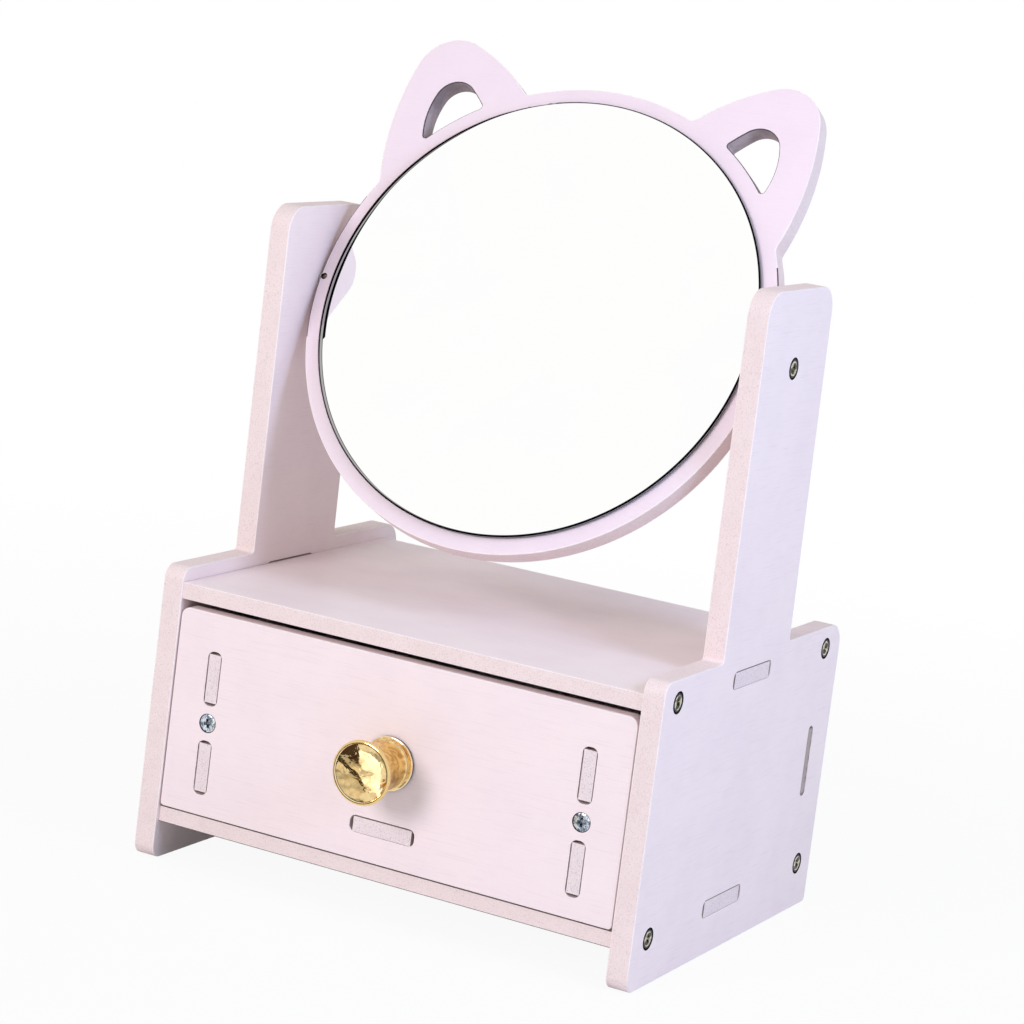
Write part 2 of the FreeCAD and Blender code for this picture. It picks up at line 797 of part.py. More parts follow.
for node_name, shape in sorted(build().items()):
    shape.exportStep("parts/" + node_name + ".step")
    box = shape.BoundBox
    low = (box.XMin, box.YMin, box.ZMin)
    high = (box.XMax, box.YMax, box.ZMax)
    report = (node_name, len(shape.Solids), shape.isValid(), *low, *high)
    print("%-20s solids %d valid %s  from %7.1f %7.1f %7.1f to %7.1f %7.1f %7.1f" % report)
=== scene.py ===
import math

import bmesh
import bpy
from mathutils import Matrix, Vector


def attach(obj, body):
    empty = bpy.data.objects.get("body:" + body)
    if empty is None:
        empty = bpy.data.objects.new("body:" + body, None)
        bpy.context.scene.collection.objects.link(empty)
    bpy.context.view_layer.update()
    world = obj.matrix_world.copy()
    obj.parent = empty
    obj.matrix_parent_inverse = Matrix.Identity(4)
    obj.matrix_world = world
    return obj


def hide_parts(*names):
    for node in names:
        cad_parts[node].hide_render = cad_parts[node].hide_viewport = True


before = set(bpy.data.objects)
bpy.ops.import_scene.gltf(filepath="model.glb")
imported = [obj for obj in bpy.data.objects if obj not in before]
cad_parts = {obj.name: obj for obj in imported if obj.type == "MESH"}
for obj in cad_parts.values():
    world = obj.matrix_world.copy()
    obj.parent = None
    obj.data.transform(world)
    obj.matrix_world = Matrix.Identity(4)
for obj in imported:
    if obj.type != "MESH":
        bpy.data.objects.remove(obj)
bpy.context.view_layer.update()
mm = 0.001
frontEdge = -67.5   # front edges of the side panels, in the frame's y
slotGap = 0.25      # play on each side of a tenon
slotCorner = 2.2    # radius of a slot's corners
slotArris = 0.35    # share of a board's arris that a slot's edge gets
slotLift = 0.16     # a flat tenon rests on the foot of its slot
tenonFill = 0.65    # how far a thick tenon reaches on into the round ends of its slot
joined = 0.0005     # points closer than this, in mm, become one


# nodes
def tint(red, green, blue):
    def straight(value):
        value /= 255
        return value / 12.92 if value <= 0.04045 else ((value + 0.055) / 1.055) ** 2.4
    return straight(red), straight(green), straight(blue), 1.0


class Wire:
    # a node's output; arithmetic with it adds math nodes to its tree
    def __init__(self, tree, socket):
        self.tree, self.socket = tree, socket


# a + b, a - b, a * b, a / b and a ** b
signs = {"add": "ADD", "sub": "SUBTRACT", "mul": "MULTIPLY", "truediv": "DIVIDE", "pow": "POWER"}
for word, operation in signs.items():
    setattr(Wire, f"__{word}__", lambda a, b, operation=operation: calc(operation, a, b))
Wire.__rsub__ = lambda a, b: calc("SUBTRACT", b, a)


def put(tree, kind, sockets=None, **settings):
    # one node; a list on a socket links each wire in it
    node = tree.nodes.new(kind)
    for key, value in settings.items():
        setattr(node, key, value)
    for key, given in (sockets or {}).items():
        for value in given if isinstance(given, list) else [given]:
            if isinstance(value, Wire):
                tree.links.new(value.socket, node.inputs[key])
            else:
                node.inputs[key].default_value = value
    return node


def wire(tree, kind, sockets=None, out=0, **settings):
    return Wire(tree, put(tree, kind, sockets, **settings).outputs[out])


def calc(operation, first, second=0.0):
    tree = first.tree if isinstance(first, Wire) else second.tree
    return wire(tree, "ShaderNodeMath", {0: first, 1: second}, operation=operation)


def vectors(operation, first, second=(0, 0, 0)):
    out = "Value" if operation in ("LENGTH", "DOT_PRODUCT") else "Vector"
    return wire(first.tree, "ShaderNodeVectorMath", {0: first, 1: second}, out, operation=operation)


def vector(tree, x=0.0, y=0.0, z=0.0):
    return wire(tree, "ShaderNodeCombineXYZ", {0: x, 1: y, 2: z})


def part(value, axis):
    return wire(value.tree, "ShaderNodeSeparateXYZ", {0: value}, axis)


def spread(value, low, high, toLow=0.0, toHigh=1.0):
    sockets = {"Value": value, "From Min": low, "From Max": high, "To Min": toLow, "To Max": toHigh}
    return wire(value.tree, "ShaderNodeMapRange", sockets)


def within(value, low, high, soft):
    return spread(value, low - soft, low + soft) * spread(value, high - soft, high + soft, 1.0, 0.0)


def mixed(share, *colours):
    # colours are wires, or (red, green, blue) as the looks have them
    first, second = (tint(*c) if isinstance(c, tuple) and len(c) == 3 else c for c in colours)
    return wire(share.tree, "ShaderNodeMix", {0: share, 6: first, 7: second}, 2, data_type="RGBA")


def noise(place, scale, detail, **more):
    return wire(place.tree, "ShaderNodeTexNoise", {"Vector": place, "Scale": scale, "Detail": detail, **more})


def bumped(height, strength, depth, under=None):
    sockets = {"Height": height, "Strength": strength, "Distance": depth * mm}
    if under is not None:
        sockets["Normal"] = under
    return wire(height.tree, "ShaderNodeBump", sockets)


def newFinish(name):
    # an empty material, and the object's own coordinates in it
    material = bpy.data.materials.new(name)
    material.use_nodes = True
    material.node_tree.nodes.clear()
    return material, wire(material.node_tree, "ShaderNodeTexCoord", out="Object")


def finished(material, colour, rough, bump, metallic=0.0, specular=0.5):
    shader = wire(material.node_tree, "ShaderNodeBsdfPrincipled", {
        "Base Color": colour, "Roughness": rough, "Normal": bump, "Metallic": metallic, "Specular IOR Level": specular})
    put(material.node_tree, "ShaderNodeOutputMaterial", {"Surface": shader})
    return material


def newGroup(name, inputs, output):
    # a geometry tree, and its named inputs as wires
    tree = bpy.data.node_groups.new(name, "GeometryNodeTree")
    for label, kind in inputs.items():
        tree.interface.new_socket(label, in_out="INPUT", socket_type="NodeSocket" + kind)
    tree.interface.new_socket(output, in_out="OUTPUT", socket_type="NodeSocketGeometry")
    given = put(tree, "NodeGroupInput").outputs
    return tree, {label: Wire(tree, given[label]) for label in inputs}


def stored(tree, name, kind="FLOAT"):
    return wire(tree, "GeometryNodeInputNamedAttribute", {"Name": name}, data_type=kind)


def store(shape, name, value, kind, domain):
    return wire(shape.tree, "GeometryNodeStoreNamedAttribute", {"Geometry": shape, "Name": name, "Value": value},
                data_type=kind, domain=domain)


def painted(shape, material, chosen=True):
    return wire(shape.tree, "GeometryNodeSetMaterial", {"Geometry": shape, "Selection": chosen, "Material": material})


def shifted(shape, z):
    place = vector(shape.tree, z=z)
    return wire(shape.tree, "GeometryNodeTransform", {"Geometry": shape, "Translation": place})


def moved(shape, chosen, **how):
    return wire(shape.tree, "GeometryNodeSetPosition", {"Geometry": shape, "Selection": chosen, **how})


# pieces
def link(piece):
    bpy.context.scene.collection.objects.link(piece)
    return piece


def bake(piece):
    # what the modifiers give becomes the piece's own mesh
    mesh = bpy.data.meshes.new_from_object(piece.evaluated_get(bpy.context.evaluated_depsgraph_get()))
    piece.modifiers.clear()
    piece.data = mesh
    return mesh


def settle(piece, place=None, sharp=28):
    # the baked mesh in its place, closed and facing out
    mesh = bake(piece)
    mesh.name = piece.name
    if place is not None:
        mesh.transform(place)
    work = bmesh.new()
    work.from_mesh(mesh)
    bmesh.ops.remove_doubles(work, verts=work.verts, dist=joined * mm)
    bmesh.ops.dissolve_degenerate(work, edges=work.edges, dist=joined * mm)
    bmesh.ops.recalc_face_normals(work, faces=work.faces)
    work.to_mesh(mesh)
    work.free()
    for extra in [a.name for a in mesh.attributes if a.name in ("outward", "slotEdge", "facing", "recessWall")]:
        mesh.attributes.remove(mesh.attributes[extra])
    mesh.shade_smooth()
    mesh.set_sharp_from_angle(angle=math.radians(sharp))
    return piece


def evenLight(piece):
    # flat faces stay flat right up to their eased edges
    weighted = piece.modifiers.new("flatFaces", "WEIGHTED_NORMAL")
    weighted.keep_sharp = True
    weighted.weight = 60
    bake(piece)
    return piece


def modelled(name, mesh, tree, values, place=None, **how):
    # a piece from a geometry tree, with the tree's inputs set by name
    piece = link(bpy.data.objects.new(name, mesh))
    maker = piece.modifiers.new(name, "NODES")
    maker.node_group = tree
    for item in tree.interface.items_tree:
        if item.name in values:
            maker[item.identifier] = values[item.name]
    return settle(piece, place, **how)


def give(piece, body, node):
    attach(piece, body)
    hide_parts(*([node] if isinstance(node, str) else node))


def repaint(piece, material, test, old=None):
    # gives another finish to the faces that pass the test, which sees mm; old limits it to one finish's faces
    piece.data.materials.append(material)
    index = len(piece.data.materials) - 1
    before = piece.data.materials.find(old.name) if old else -1
    for face in piece.data.polygons:
        if (not old or face.material_index == before) and test(face.center / mm, face.normal):
            face.material_index = index


def facing(position, direction):
    turn = Vector(direction).to_track_quat("Z", "Y").to_matrix().to_4x4()
    return Matrix.Translation(Vector(position) * mm) @ turn


def plane(u, v, w, position=(0, 0, 0)):
    # puts an outline's own u, v and its thickness on three axes of the frame, through a point in mm
    turn = Matrix((u, v, w)).transposed().to_4x4()
    return Matrix.Translation(Vector(position) * mm) @ turn


def y(setback):
    return frontEdge + setback


def lying(height):
    return plane((1, 0, 0), (0, 1, 0), (0, 0, 1), (0, 0, height))


def across(setback):
    return plane((1, 0, 0), (0, 0, 1), (0, -1, 0), (0, y(setback), 0))


def endOn(x):
    return plane((0, 1, 0), (0, 0, 1), (1, 0, 0), (x, 0, 0))


# outlines, in mm
def arcTo(centre, start, end, closeness=0.006):
    # points from start to end round a centre, the short way
    radius = (start - centre).length
    first = math.atan2(start.y - centre.y, start.x - centre.x)
    sweep = math.atan2(end.y - centre.y, end.x - centre.x) - first
    sweep = (sweep + math.pi) % (2 * math.pi) - math.pi
    step = 2 * math.acos(max(0.0, 1 - closeness / radius))
    count = max(3, math.ceil(abs(sweep) / step))
    angles = [first + sweep * i / count for i in range(count + 1)]
    return [centre + radius * Vector((math.cos(a), math.sin(a))) for a in angles]


def tenonedLoop(low, high, tips, tenons=((),) * 4):
    # a rectangle between two corners, with tenons (middle, half) out to the tip of each side: foot, right, head, left
    (left, foot), (right, head) = low, high
    loop = []
    for i, corner in enumerate([(left, foot), (right, foot), (right, head), (left, head)]):
        loop.append(corner)
        base, way = corner[1 - i % 2], 1 if i < 2 else -1
        for middle, half in tenons[i][::way]:
            start, end = middle - way * half, middle + way * half
            steps = (start, base), (start, tips[i]), (end, tips[i]), (end, base)
            loop += steps if i % 2 == 0 else [(out, run) for run, out in steps]
    return [Vector(place) for place in loop]


def roundedLoop(corners):
    # (u, v, radius) corners in order
    loop = []
    for i, (u, v, radius) in enumerate(corners):
        here = Vector((u, v))
        back = (Vector(corners[i - 1][:2]) - here).normalized()
        on = (Vector(corners[(i + 1) % len(corners)][:2]) - here).normalized()
        half = back.angle(on) / 2
        cut = radius / math.tan(half)
        centre = here + (back + on).normalized() * radius / math.sin(half)
        loop += arcTo(centre, here + back * cut, here + on * cut)
    return loop


def roundLoop(radius, count):
    turn = 2 * math.pi / count
    return [Vector((radius * math.cos(turn * i), radius * math.sin(turn * i))) for i in range(count)]


def slotHole(u, v, tenon, thickness, upright=False):
    # long enough for the square corners of a tenon to clear its ends
    short = thickness / 2 + slotGap
    long = (tenon + 0.1 - 2 * math.sqrt(short ** 2 - (thickness / 2) ** 2) + 2 * short) / 2
    r = min(slotCorner, short - 0.001)
    if upright:
        long, short = short, long
    loop = roundedLoop([(u - long, v - short, r), (u + long, v - short, r),
                        (u + long, v + short, r), (u - long, v + short, r)])
    return loop, slotArris, True


def outwardWay(loop):
    # the way out of the board at each point of a loop that has the board on its left
    ways = []
    for i, here in enumerate(loop):
        first = (here - loop[i - 1]).normalized()
        second = (loop[(i + 1) % len(loop)] - here).normalized()
        a = Vector((first.y, -first.x))
        b = Vector((second.y, -second.x))
        ways.append((a + b) / (1 + a.dot(b)))
    return ways


def turns(loop):
    return sum(loop[i - 1].cross(loop[i]) for i in range(len(loop)))


finishLabels = ("Face Finish", "Sawn Finish", "Arris Finish", "Slot Finish", "Edge Shade Finish")


def buildBoardTree(name, steps):
    # an outline becomes a board with eased edges
    inputs = {"Outline": "Geometry", "Thickness": "Float", "Arris": "Float"}
    tree, given = newGroup(name, {**inputs, **dict.fromkeys(finishLabels, "Material")}, "Board")
    outward = stored(tree, "outward", "FLOAT_VECTOR")
    half = given["Thickness"] * 0.5
    shape, top = given["Outline"], True

    def extrude(rise, inset):
        nonlocal shape, top
        back = wire(tree, "ShaderNodeVectorMath", {0: outward, 3: inset}, operation="SCALE")
        way = vectors("SUBTRACT", vector(tree, z=rise), back)
        node = put(tree, "GeometryNodeExtrudeMesh", {"Mesh": shape, "Selection": top, "Offset": way,
                                                     "Offset Scale": 1.0}, mode="EDGES")
        shape, top = (Wire(tree, node.outputs[word]) for word in ("Mesh", "Top"))

    extrude(half - given["Arris"], 0.0)
    for i in range(steps):
        a, b = (math.pi / 2 * k / steps for k in (i, i + 1))
        extrude(given["Arris"] * (math.sin(b) - math.sin(a)), given["Arris"] * (math.cos(a) - math.cos(b)))
    steep = calc("ABSOLUTE", part(wire(tree, "GeometryNodeInputNormal"), 2))
    upright = calc("LESS_THAN", steep, 0.02)
    inSlot = calc("GREATER_THAN", stored(tree, "slotEdge"), 0.5)
    wall = painted(shape, given["Arris Finish"])
    wall = painted(wall, given["Sawn Finish"], upright)
    wall = painted(wall, given["Slot Finish"], inSlot)
    # a slot's eased edges get a dark finish: painted shade
    wall = painted(wall, given["Edge Shade Finish"], inSlot - upright)
    rim = wire(tree, "GeometryNodeMeshToCurve", {"Mesh": shape, "Selection": top})
    cap = shifted(wire(tree, "GeometryNodeFillCurve", {"Curve": rim}), half)
    upper = wire(tree, "GeometryNodeJoinGeometry", {0: [wall, cap]})
    lower = wire(tree, "GeometryNodeTransform", {"Geometry": upper, "Scale": (1, 1, -1)})
    both = wire(tree, "GeometryNodeJoinGeometry", {0: [upper, lower]})
    closed = wire(tree, "GeometryNodeMergeByDistance", {"Geometry": both, "Distance": joined * mm})
    whole = wire(tree, "GeometryNodeRealizeInstances", {"Geometry": closed})
    last = painted(whole, given["Face Finish"], calc("GREATER_THAN", steep, 0.9999))
    put(tree, "NodeGroupOutput", {0: last})
    return tree


boardTree = buildBoardTree("boardFromOutline", 3)
glassTree = buildBoardTree("bevelledGlass", 1)


def cutBoard(name, outer, holes, place, thickness, arris, finishes, tree=boardTree):
    # holes are (loop, share of the arris, whether it is a joint's slot)
    points, edges, ways, slots = [], [], [], []
    for loop, share, isSlot in [(outer, 1.0, False)] + list(holes):
        isHole = loop is not outer
        if (turns(loop) > 0) == isHole:
            loop = loop[::-1]
        start = len(points)
        points += [(p.x * mm, p.y * mm, 0) for p in loop]
        edges += [(start + i, start + (i + 1) % len(loop)) for i in range(len(loop))]
        ways += [(w.x * share, w.y * share, 0) for w in outwardWay(loop)]
        slots += [float(isSlot)] * len(loop)
    mesh = bpy.data.meshes.new(name)
    mesh.from_pydata(points, edges, [])
    mesh.attributes.new("outward", "FLOAT_VECTOR", "POINT").data.foreach_set("vector", [c for w in ways for c in w])
    mesh.attributes.new("slotEdge", "FLOAT", "POINT").data.foreach_set("value", slots)
    values = {"Thickness": thickness * mm, "Arris": arris * mm, **dict(zip(finishLabels, finishes))}
    return modelled(name, mesh, tree, values, place)


def turned(name, profile, place, material, sides=64):
    # a round piece from its half section, (radius, height) from foot to head in mm
    work = bmesh.new()
    rings = []
    for radius, height in profile:
        if radius < 1e-6:
            rings.append([work.verts.new((0, 0, height * mm))])
            continue
        angles = [2 * math.pi * i / sides for i in range(sides)]
        rings.append([work.verts.new((radius * mm * math.cos(a), radius * mm * math.sin(a), height * mm))
                      for a in angles])
    for low, high in zip(rings, rings[1:]):
        for i in range(sides):
            quad = [low[i % len(low)], low[(i + 1) % len(low)], high[(i + 1) % len(high)], high[i % len(high)]]
            quad = list(dict.fromkeys(quad))
            if len(quad) > 2:
                work.faces.new(quad)
    mesh = bpy.data.meshes.new(name)
    work.to_mesh(mesh)
    work.free()
    mesh.materials.append(material)
    return settle(link(bpy.data.objects.new(name, mesh)), place)


def cutter(profile, place, sides):
    return turned("tool", profile, place, boreWall, sides)


def drill(board, cutters):
    # cuts turned tools out of a board; the holes keep the tools' finish, nearly black, a painted shade
    for tool in cutters:
        cut = board.modifiers.new("drill", "BOOLEAN")
        cut.operation, cut.solver, cut.object = "DIFFERENCE", "EXACT", tool
        cut.material_mode = "TRANSFER"
    settle(board)
    for tool in cutters:
        bpy.data.objects.remove(tool)
    return evenLight(board)


# finishes of the boards
boardLook = {
    "face": (247, 231, 233), "hair": (212, 189, 195), "hairShare": 0.24, "hairLength": 12.0, "hairWidth": 0.30,
    "cloud": (238, 221, 226), "cloudShare": 0.35, "cloudSize": 22.0,
    "speck": (220, 201, 210), "speckShare": 0.14, "speckSize": 0.5,
    "roughness": (0.42, 0.56), "bump": 0.12, "bumpDepth": 0.03,
}
# painted tint of the cool light from above: the frame's faces are bluer than the other boards
frameLook = dict(boardLook, face=(240, 223, 233), cloud=(232, 214, 227), hairShare=0.14)
sawnLook = dict(boardLook, face=(241, 224, 223), hair=(200, 174, 172), hairShare=0.34, hairLength=1.4,
                hairWidth=0.35, cloud=(232, 213, 212), cloudSize=9.0, speck=(184, 156, 156), speckShare=0.42,
                speckSize=0.42, roughness=(0.62, 0.8), bump=0.3, bumpDepth=0.06)
# painted highlight: eased edges lighter than sawn ones
arrisLook = dict(sawnLook, face=(250, 239, 240), hairShare=0.15, speckShare=0.2, roughness=(0.5, 0.65), bump=0.15)
tenonLook = dict(sawnLook, face=(238, 224, 226), cloud=(226, 210, 214), speck=(160, 134, 138), speckShare=0.55,
                 speckSize=0.5, hairLength=0.7)
# painted shade: slot walls darker than sawn edges
slotLook = dict(sawnLook, face=(224, 208, 206), hair=(150, 128, 126), cloud=(190, 170, 168), speck=(110, 90, 88))
# painted shade: a dark line on a slot's eased edges
slotEdgeShadeLook = dict(sawnLook, face=(150, 130, 128), hair=(84, 68, 66), cloud=(222, 206, 206), cloudShare=0.9,
                 cloudSize=3.0, speck=(44, 34, 32))
# painted shade: a tenon's sides, where they sit inside a slot, are dark
cheekLook = dict(slotLook, face=(196, 178, 174), hair=(96, 80, 76), cloud=(130, 112, 108), speck=(226, 210, 208))
# painted shade: ear hole walls darker than sawn edges
earHoleLook = dict(sawnLook, face=(196, 180, 184), hair=(120, 104, 108), cloud=(138, 122, 128), cloudShare=0.85,
                   cloudSize=12.0, speck=(104, 90, 92))
# painted shade: dark lines along eased edges where parts meet or pass close, and round the ear holes
shadeLineLook = dict(sawnLook, face=(74, 64, 66), hair=(44, 36, 38), cloud=(112, 98, 100), cloudShare=0.6,
                  cloudSize=5.0, speck=(36, 28, 30))
scorchedEndLook = dict(tenonLook, face=(186, 170, 166), cloud=(150, 132, 128), speck=(84, 68, 66))
# painted shade: the walls of drilled holes are nearly black
boreLook = dict(slotLook, face=(18, 15, 15), hair=(12, 10, 10), cloud=(14, 12, 12), speck=(8, 7, 7))


def boardFinish(name, look, along=0):
    # fine hairs that run one way, soft clouds of tone, specks, and a bump to match
    material, place = newFinish(name)
    stretch = [1 / (look["hairWidth"] * mm)] * 3
    stretch[along] = 1 / (look["hairLength"] * mm)
    drawn = wire(place.tree, "ShaderNodeMapping", {"Vector": place, "Scale": tuple(stretch)})
    hairs = noise(drawn, 1.0, 3.0)
    clouds = noise(place, 1 / (look["cloudSize"] * mm), 4.0, Roughness=0.6)
    specks = noise(place, 1 / (look["speckSize"] * mm), 2.0)
    colour = look["face"]
    for word, pattern, low, high in (("cloud", clouds, 0.38, 0.66), ("hair", hairs, 0.56, 0.74),
                                     ("speck", specks, 0.55, 0.72)):
        colour = mixed(spread(pattern, low, high, 0.0, look[word + "Share"]), colour, look[word])
    rough = spread(clouds + hairs, 0.7, 1.3, *look["roughness"])
    bump = bumped(hairs * 0.6 + specks * 0.4, look["bump"], look["bumpDepth"])
    return finished(material, colour, rough, bump, specular=0.35)


faceAcross = boardFinish("boardFaceAcross", boardLook)
faceDeep = boardFinish("boardFaceDeep", boardLook, 1)
sawnAcross = boardFinish("sawnEdgeAcross", sawnLook)
sawnUp = boardFinish("sawnEdgeUp", sawnLook, 2)
easedEdge = boardFinish("easedEdge", arrisLook)
tenonEnd = boardFinish("tenonEnd", tenonLook, 2)
slotWall = boardFinish("slotWall", slotLook)
slotEdgeShade = boardFinish("paintedSlotEdgeShade", slotEdgeShadeLook)
tenonCheek = boardFinish("tenonCheek", cheekLook, 2)
faceFrame = boardFinish("boardFaceFrame", frameLook)
boreWall = boardFinish("boreWall", boreLook, 2)
earHoleWall = boardFinish("earHoleWall", earHoleLook)
paintedShadeLine = boardFinish("paintedShadeLine", shadeLineLook)
scorchedEnd = boardFinish("scorchedEnd", scorchedEndLook, 2)
acrossFinishes = (faceAcross, sawnAcross, easedEdge, slotWall, slotEdgeShade)
deepFinishes = (faceDeep, sawnUp, easedEdge, slotWall, slotEdgeShade)
frameFinishes = (faceFrame, sawnAcross, easedEdge, earHoleWall, paintedShadeLine)
print("finishes of the boards are mixed")

# case
caseSizes = {
    "halfWidth": 100.0, "panel": 8.2, "board": 6.0, "depth": 155.0, "shoulder": 107.8, "arris": 0.4,
    "postTop": 237.4, "postFrontFoot": 46.4, "postFrontHead": 44.6, "postRearHead": 101.2, "postRearFoot": 104.4,
    "frontFootRound": 5.0, "rearFootRound": 2.0, "rearShoulderRound": 9.0, "frontShoulderRound": 5.0,
    "postRound": 9.5, "innerRound": 1.5, "shelfTop": 102.7, "bottomTop": 20.1, "shelfFront": 0.6,
    "shelfRear": 144.4, "bottomFront": 1.5, "bottomRear": 147.4, "boardArris": 0.3,
    "tenon": 28.5, "tenonMiddle": 73.4, "tenonShy": 0.1, "bore": 4.0, "boreDepth": 2.4,
    "backFront": 135.7, "back": 3.6, "backTenon": 24.3, "backDrop": 1.0, "backPlay": 0.2, "backArris": 0.25,
    "pivotHeight": 209.4, "pivotSetback": 72.9, "screwHole": 1.8, "pivotHole": 2.05,
    "unshadedTo": 120, "shadeLineTo": 62,
}
c = caseSizes
inside = c["halfWidth"] - c["panel"]
shelfMiddle = c["shelfTop"] - c["board"] / 2
bottomMiddle = c["bottomTop"] - c["board"] / 2
backMiddle = (c["shelfTop"] - c["board"] + c["bottomTop"]) / 2 - c["backDrop"]
backAt = c["backFront"] + c["back"] / 2
caseScrewPlaces = [(11.4, shelfMiddle), (141.0, shelfMiddle), (12.6, bottomMiddle), (142.4, bottomMiddle)]


def counterbore(position, direction, shank):
    # the tool for a screw head's flat-bottomed seat with a smaller hole through it
    deep, wide, through = c["boreDepth"], c["bore"], c["panel"] + 2
    profile = [(0, -through), (shank, -through), (shank, -deep), (wide, -deep), (wide, 1), (0, 1)]
    return cutter(profile, facing(position, direction), 56)


def sidePanel(name, node, side):
    outline = roundedLoop([
        (y(0), 0, c["frontFootRound"]), (y(c["depth"]), 0, c["rearFootRound"]),
        (y(c["depth"]), c["shoulder"], c["rearShoulderRound"]),
        (y(c["postRearFoot"]), c["shoulder"], c["innerRound"]), (y(c["postRearHead"]), c["postTop"], c["postRound"]),
        (y(c["postFrontHead"]), c["postTop"], c["postRound"]), (y(c["postFrontFoot"]), c["shoulder"], c["innerRound"]),
        (y(0), c["shoulder"], c["frontShoulderRound"]),
    ])
    slots = [slotHole(y(c["tenonMiddle"]), height + slotLift, c["tenon"], c["board"])
             for height in (shelfMiddle, bottomMiddle)]
    slots.append(slotHole(y(backAt), backMiddle, c["backTenon"], c["back"], True))
    panel = cutBoard(name, outline, slots, endOn(side * (inside + c["panel"] / 2)), c["panel"], c["arris"],
                     deepFinishes)
    outer = side * c["halfWidth"]
    tools = [counterbore((outer, y(s), z), (side, 0, 0), c["screwHole"]) for s, z in caseScrewPlaces]
    tools.append(counterbore((outer, y(c["pivotSetback"]), c["pivotHeight"]), (side, 0, 0), c["pivotHole"]))
    drill(panel, tools)
    # slot edges that face up or to the front, towards the front of the panel, lose their painted shade
    repaint(panel, easedEdge, lambda at, way: (way.z > 0.25 or way.y < -0.25) and at.y < y(c["unshadedTo"]), slotEdgeShade)
    give(panel, "case", node)


sidePanel("sidePanelLeft", "side_panel_left", -1)
sidePanel("sidePanelRight", "side_panel_right", 1)
print("side panels are cut and drilled")


def spanningBoard(name, node, low, high, tenon, place, thickness, arris, end, shadedEdge=None):
    # a board across the case with a tenon through each side panel, and a painted shade line along some of its eased
    # edges
    reach, sides = c["halfWidth"] - c["tenonShy"], ((), (tenon,), (), (tenon,))
    outline = tenonedLoop((-inside, low), (inside, high), (0, reach, 0, -reach), sides)
    board = cutBoard(name, outline, [], place, thickness, arris, acrossFinishes)
    # a tenon's sides in the slot get painted shade
    repaint(board, tenonCheek, lambda at, way: abs(at.x) > inside + 0.2 and abs(way.x) < 0.5)
    repaint(board, end, lambda at, way: abs(at.x) > inside + 1 and abs(way.x) > 0.9)
    if shadedEdge:
        repaint(board, paintedShadeLine, shadedEdge, easedEdge)
    give(evenLight(board), "case", node)


caseTenon = (y(c["tenonMiddle"]), c["tenon"] / 2 + tenonFill)
# painted shade lines: along the shelf's top edge beside each panel at the front, and along the bottom board's front
# edges
spanningBoard("shelfBoard", "shelf_board", y(c["shelfFront"]), y(c["shelfRear"]), caseTenon,
              lying(shelfMiddle), c["board"], c["boardArris"], tenonEnd,
              lambda at, way: way.z > 0.1 and inside - 0.4 < abs(at.x) < inside + 0.1 and at.y < y(c["shadeLineTo"]))
spanningBoard("bottomBoard", "bottom_board", y(c["bottomFront"]), y(c["bottomRear"]), caseTenon,
              lying(bottomMiddle), c["board"], c["boardArris"], tenonEnd,
              lambda at, way: way.y < -0.1 and at.y < y(c["bottomFront"] + 1))
spanningBoard("backPanel", "back_panel", c["bottomTop"] + c["backPlay"], c["shelfTop"] - c["board"] - c["backPlay"],
              (backMiddle, c["backTenon"] / 2), across(backAt), c["back"], c["backArris"], scorchedEnd)
print("shelf, bottom board and back panel are in")

# drawer
drawerSizes = {
    "setback": 0.5, "sideGap": 0.5, "backGap": 1.0, "low": 20.5, "frontHeight": 73.6, "front": 6.0, "board": 5.0,
    "sideMiddle": 75.3, "sideHeight": 67.6, "backRear": 135.2, "topRadius": 3.5, "footRadius": 1.5,
    "tenon": 16.3, "tenonOffset": 16.3, "floorLow": 30.05, "floor": 5.5, "floorTenon": 22.1,
    "tenonShy": 0.1, "arris": 0.4, "backArris": 0.25, "sideArris": 0.2, "knobHole": 2.05, "unshadedHalf": 20,
    "seatBore": 1.45, "seatFoot": 2.2, "seatRadius": 3.5, "seatShy": 0.35,
}
d = drawerSizes
drawerMiddle = d["low"] + d["sideHeight"] / 2
drawerInner = d["setback"] + d["front"]
drawerBackFront = d["backRear"] - d["board"]
floorMiddle = d["floorLow"] + d["floor"] / 2
knobHeight = d["low"] + d["frontHeight"] / 2


def floorSlot(u):
    return slotHole(u, floorMiddle + slotLift, d["floorTenon"], d["floor"])


def drawerSlots():
    return [slotHole(side * d["sideMiddle"], drawerMiddle + way * d["tenonOffset"], d["tenon"], d["board"], True)
            for side in (-1, 1) for way in (-1, 1)] + [floorSlot(0)]


def countersinks(face, way):
    # tools for the screw seats, which open at the outer face of the board
    bore, wide, through = d["seatBore"], d["seatRadius"], 2 * d["front"]
    seat = [(0, -through), (bore, -through), (bore, -d["seatFoot"]), (wide, -d["seatShy"]), (wide, 1), (0, 1)]
    return [cutter(seat, facing((side * d["sideMiddle"], y(face), drawerMiddle), (0, way, 0)), 56)
            for side in (-1, 1)]


def drawerFront():
    half, low, high = inside - d["sideGap"], d["low"], d["low"] + d["frontHeight"]
    outline = roundedLoop([(-half, low, d["footRadius"]), (half, low, d["footRadius"]),
                           (half, high, d["topRadius"]), (-half, high, d["topRadius"])])
    board = cutBoard("drawerFront", outline, drawerSlots(), across(d["setback"] + d["front"] / 2), d["front"],
                     d["arris"], acrossFinishes)
    through = d["front"] + 3
    hole = [(0, -through), (d["knobHole"], -through), (d["knobHole"], 1), (0, 1)]
    atKnob = facing((0, y(d["setback"]), knobHeight), (0, -1, 0))
    drill(board, countersinks(d["setback"], -1) + [cutter(hole, atKnob, 40)])
    # near the middle, slot edges that face up lose their painted shade
    repaint(board, easedEdge, lambda at, way: way.z > 0.25 and abs(at.x) < d["unshadedHalf"], slotEdgeShade)
    give(board, "drawer", "drawer_front")


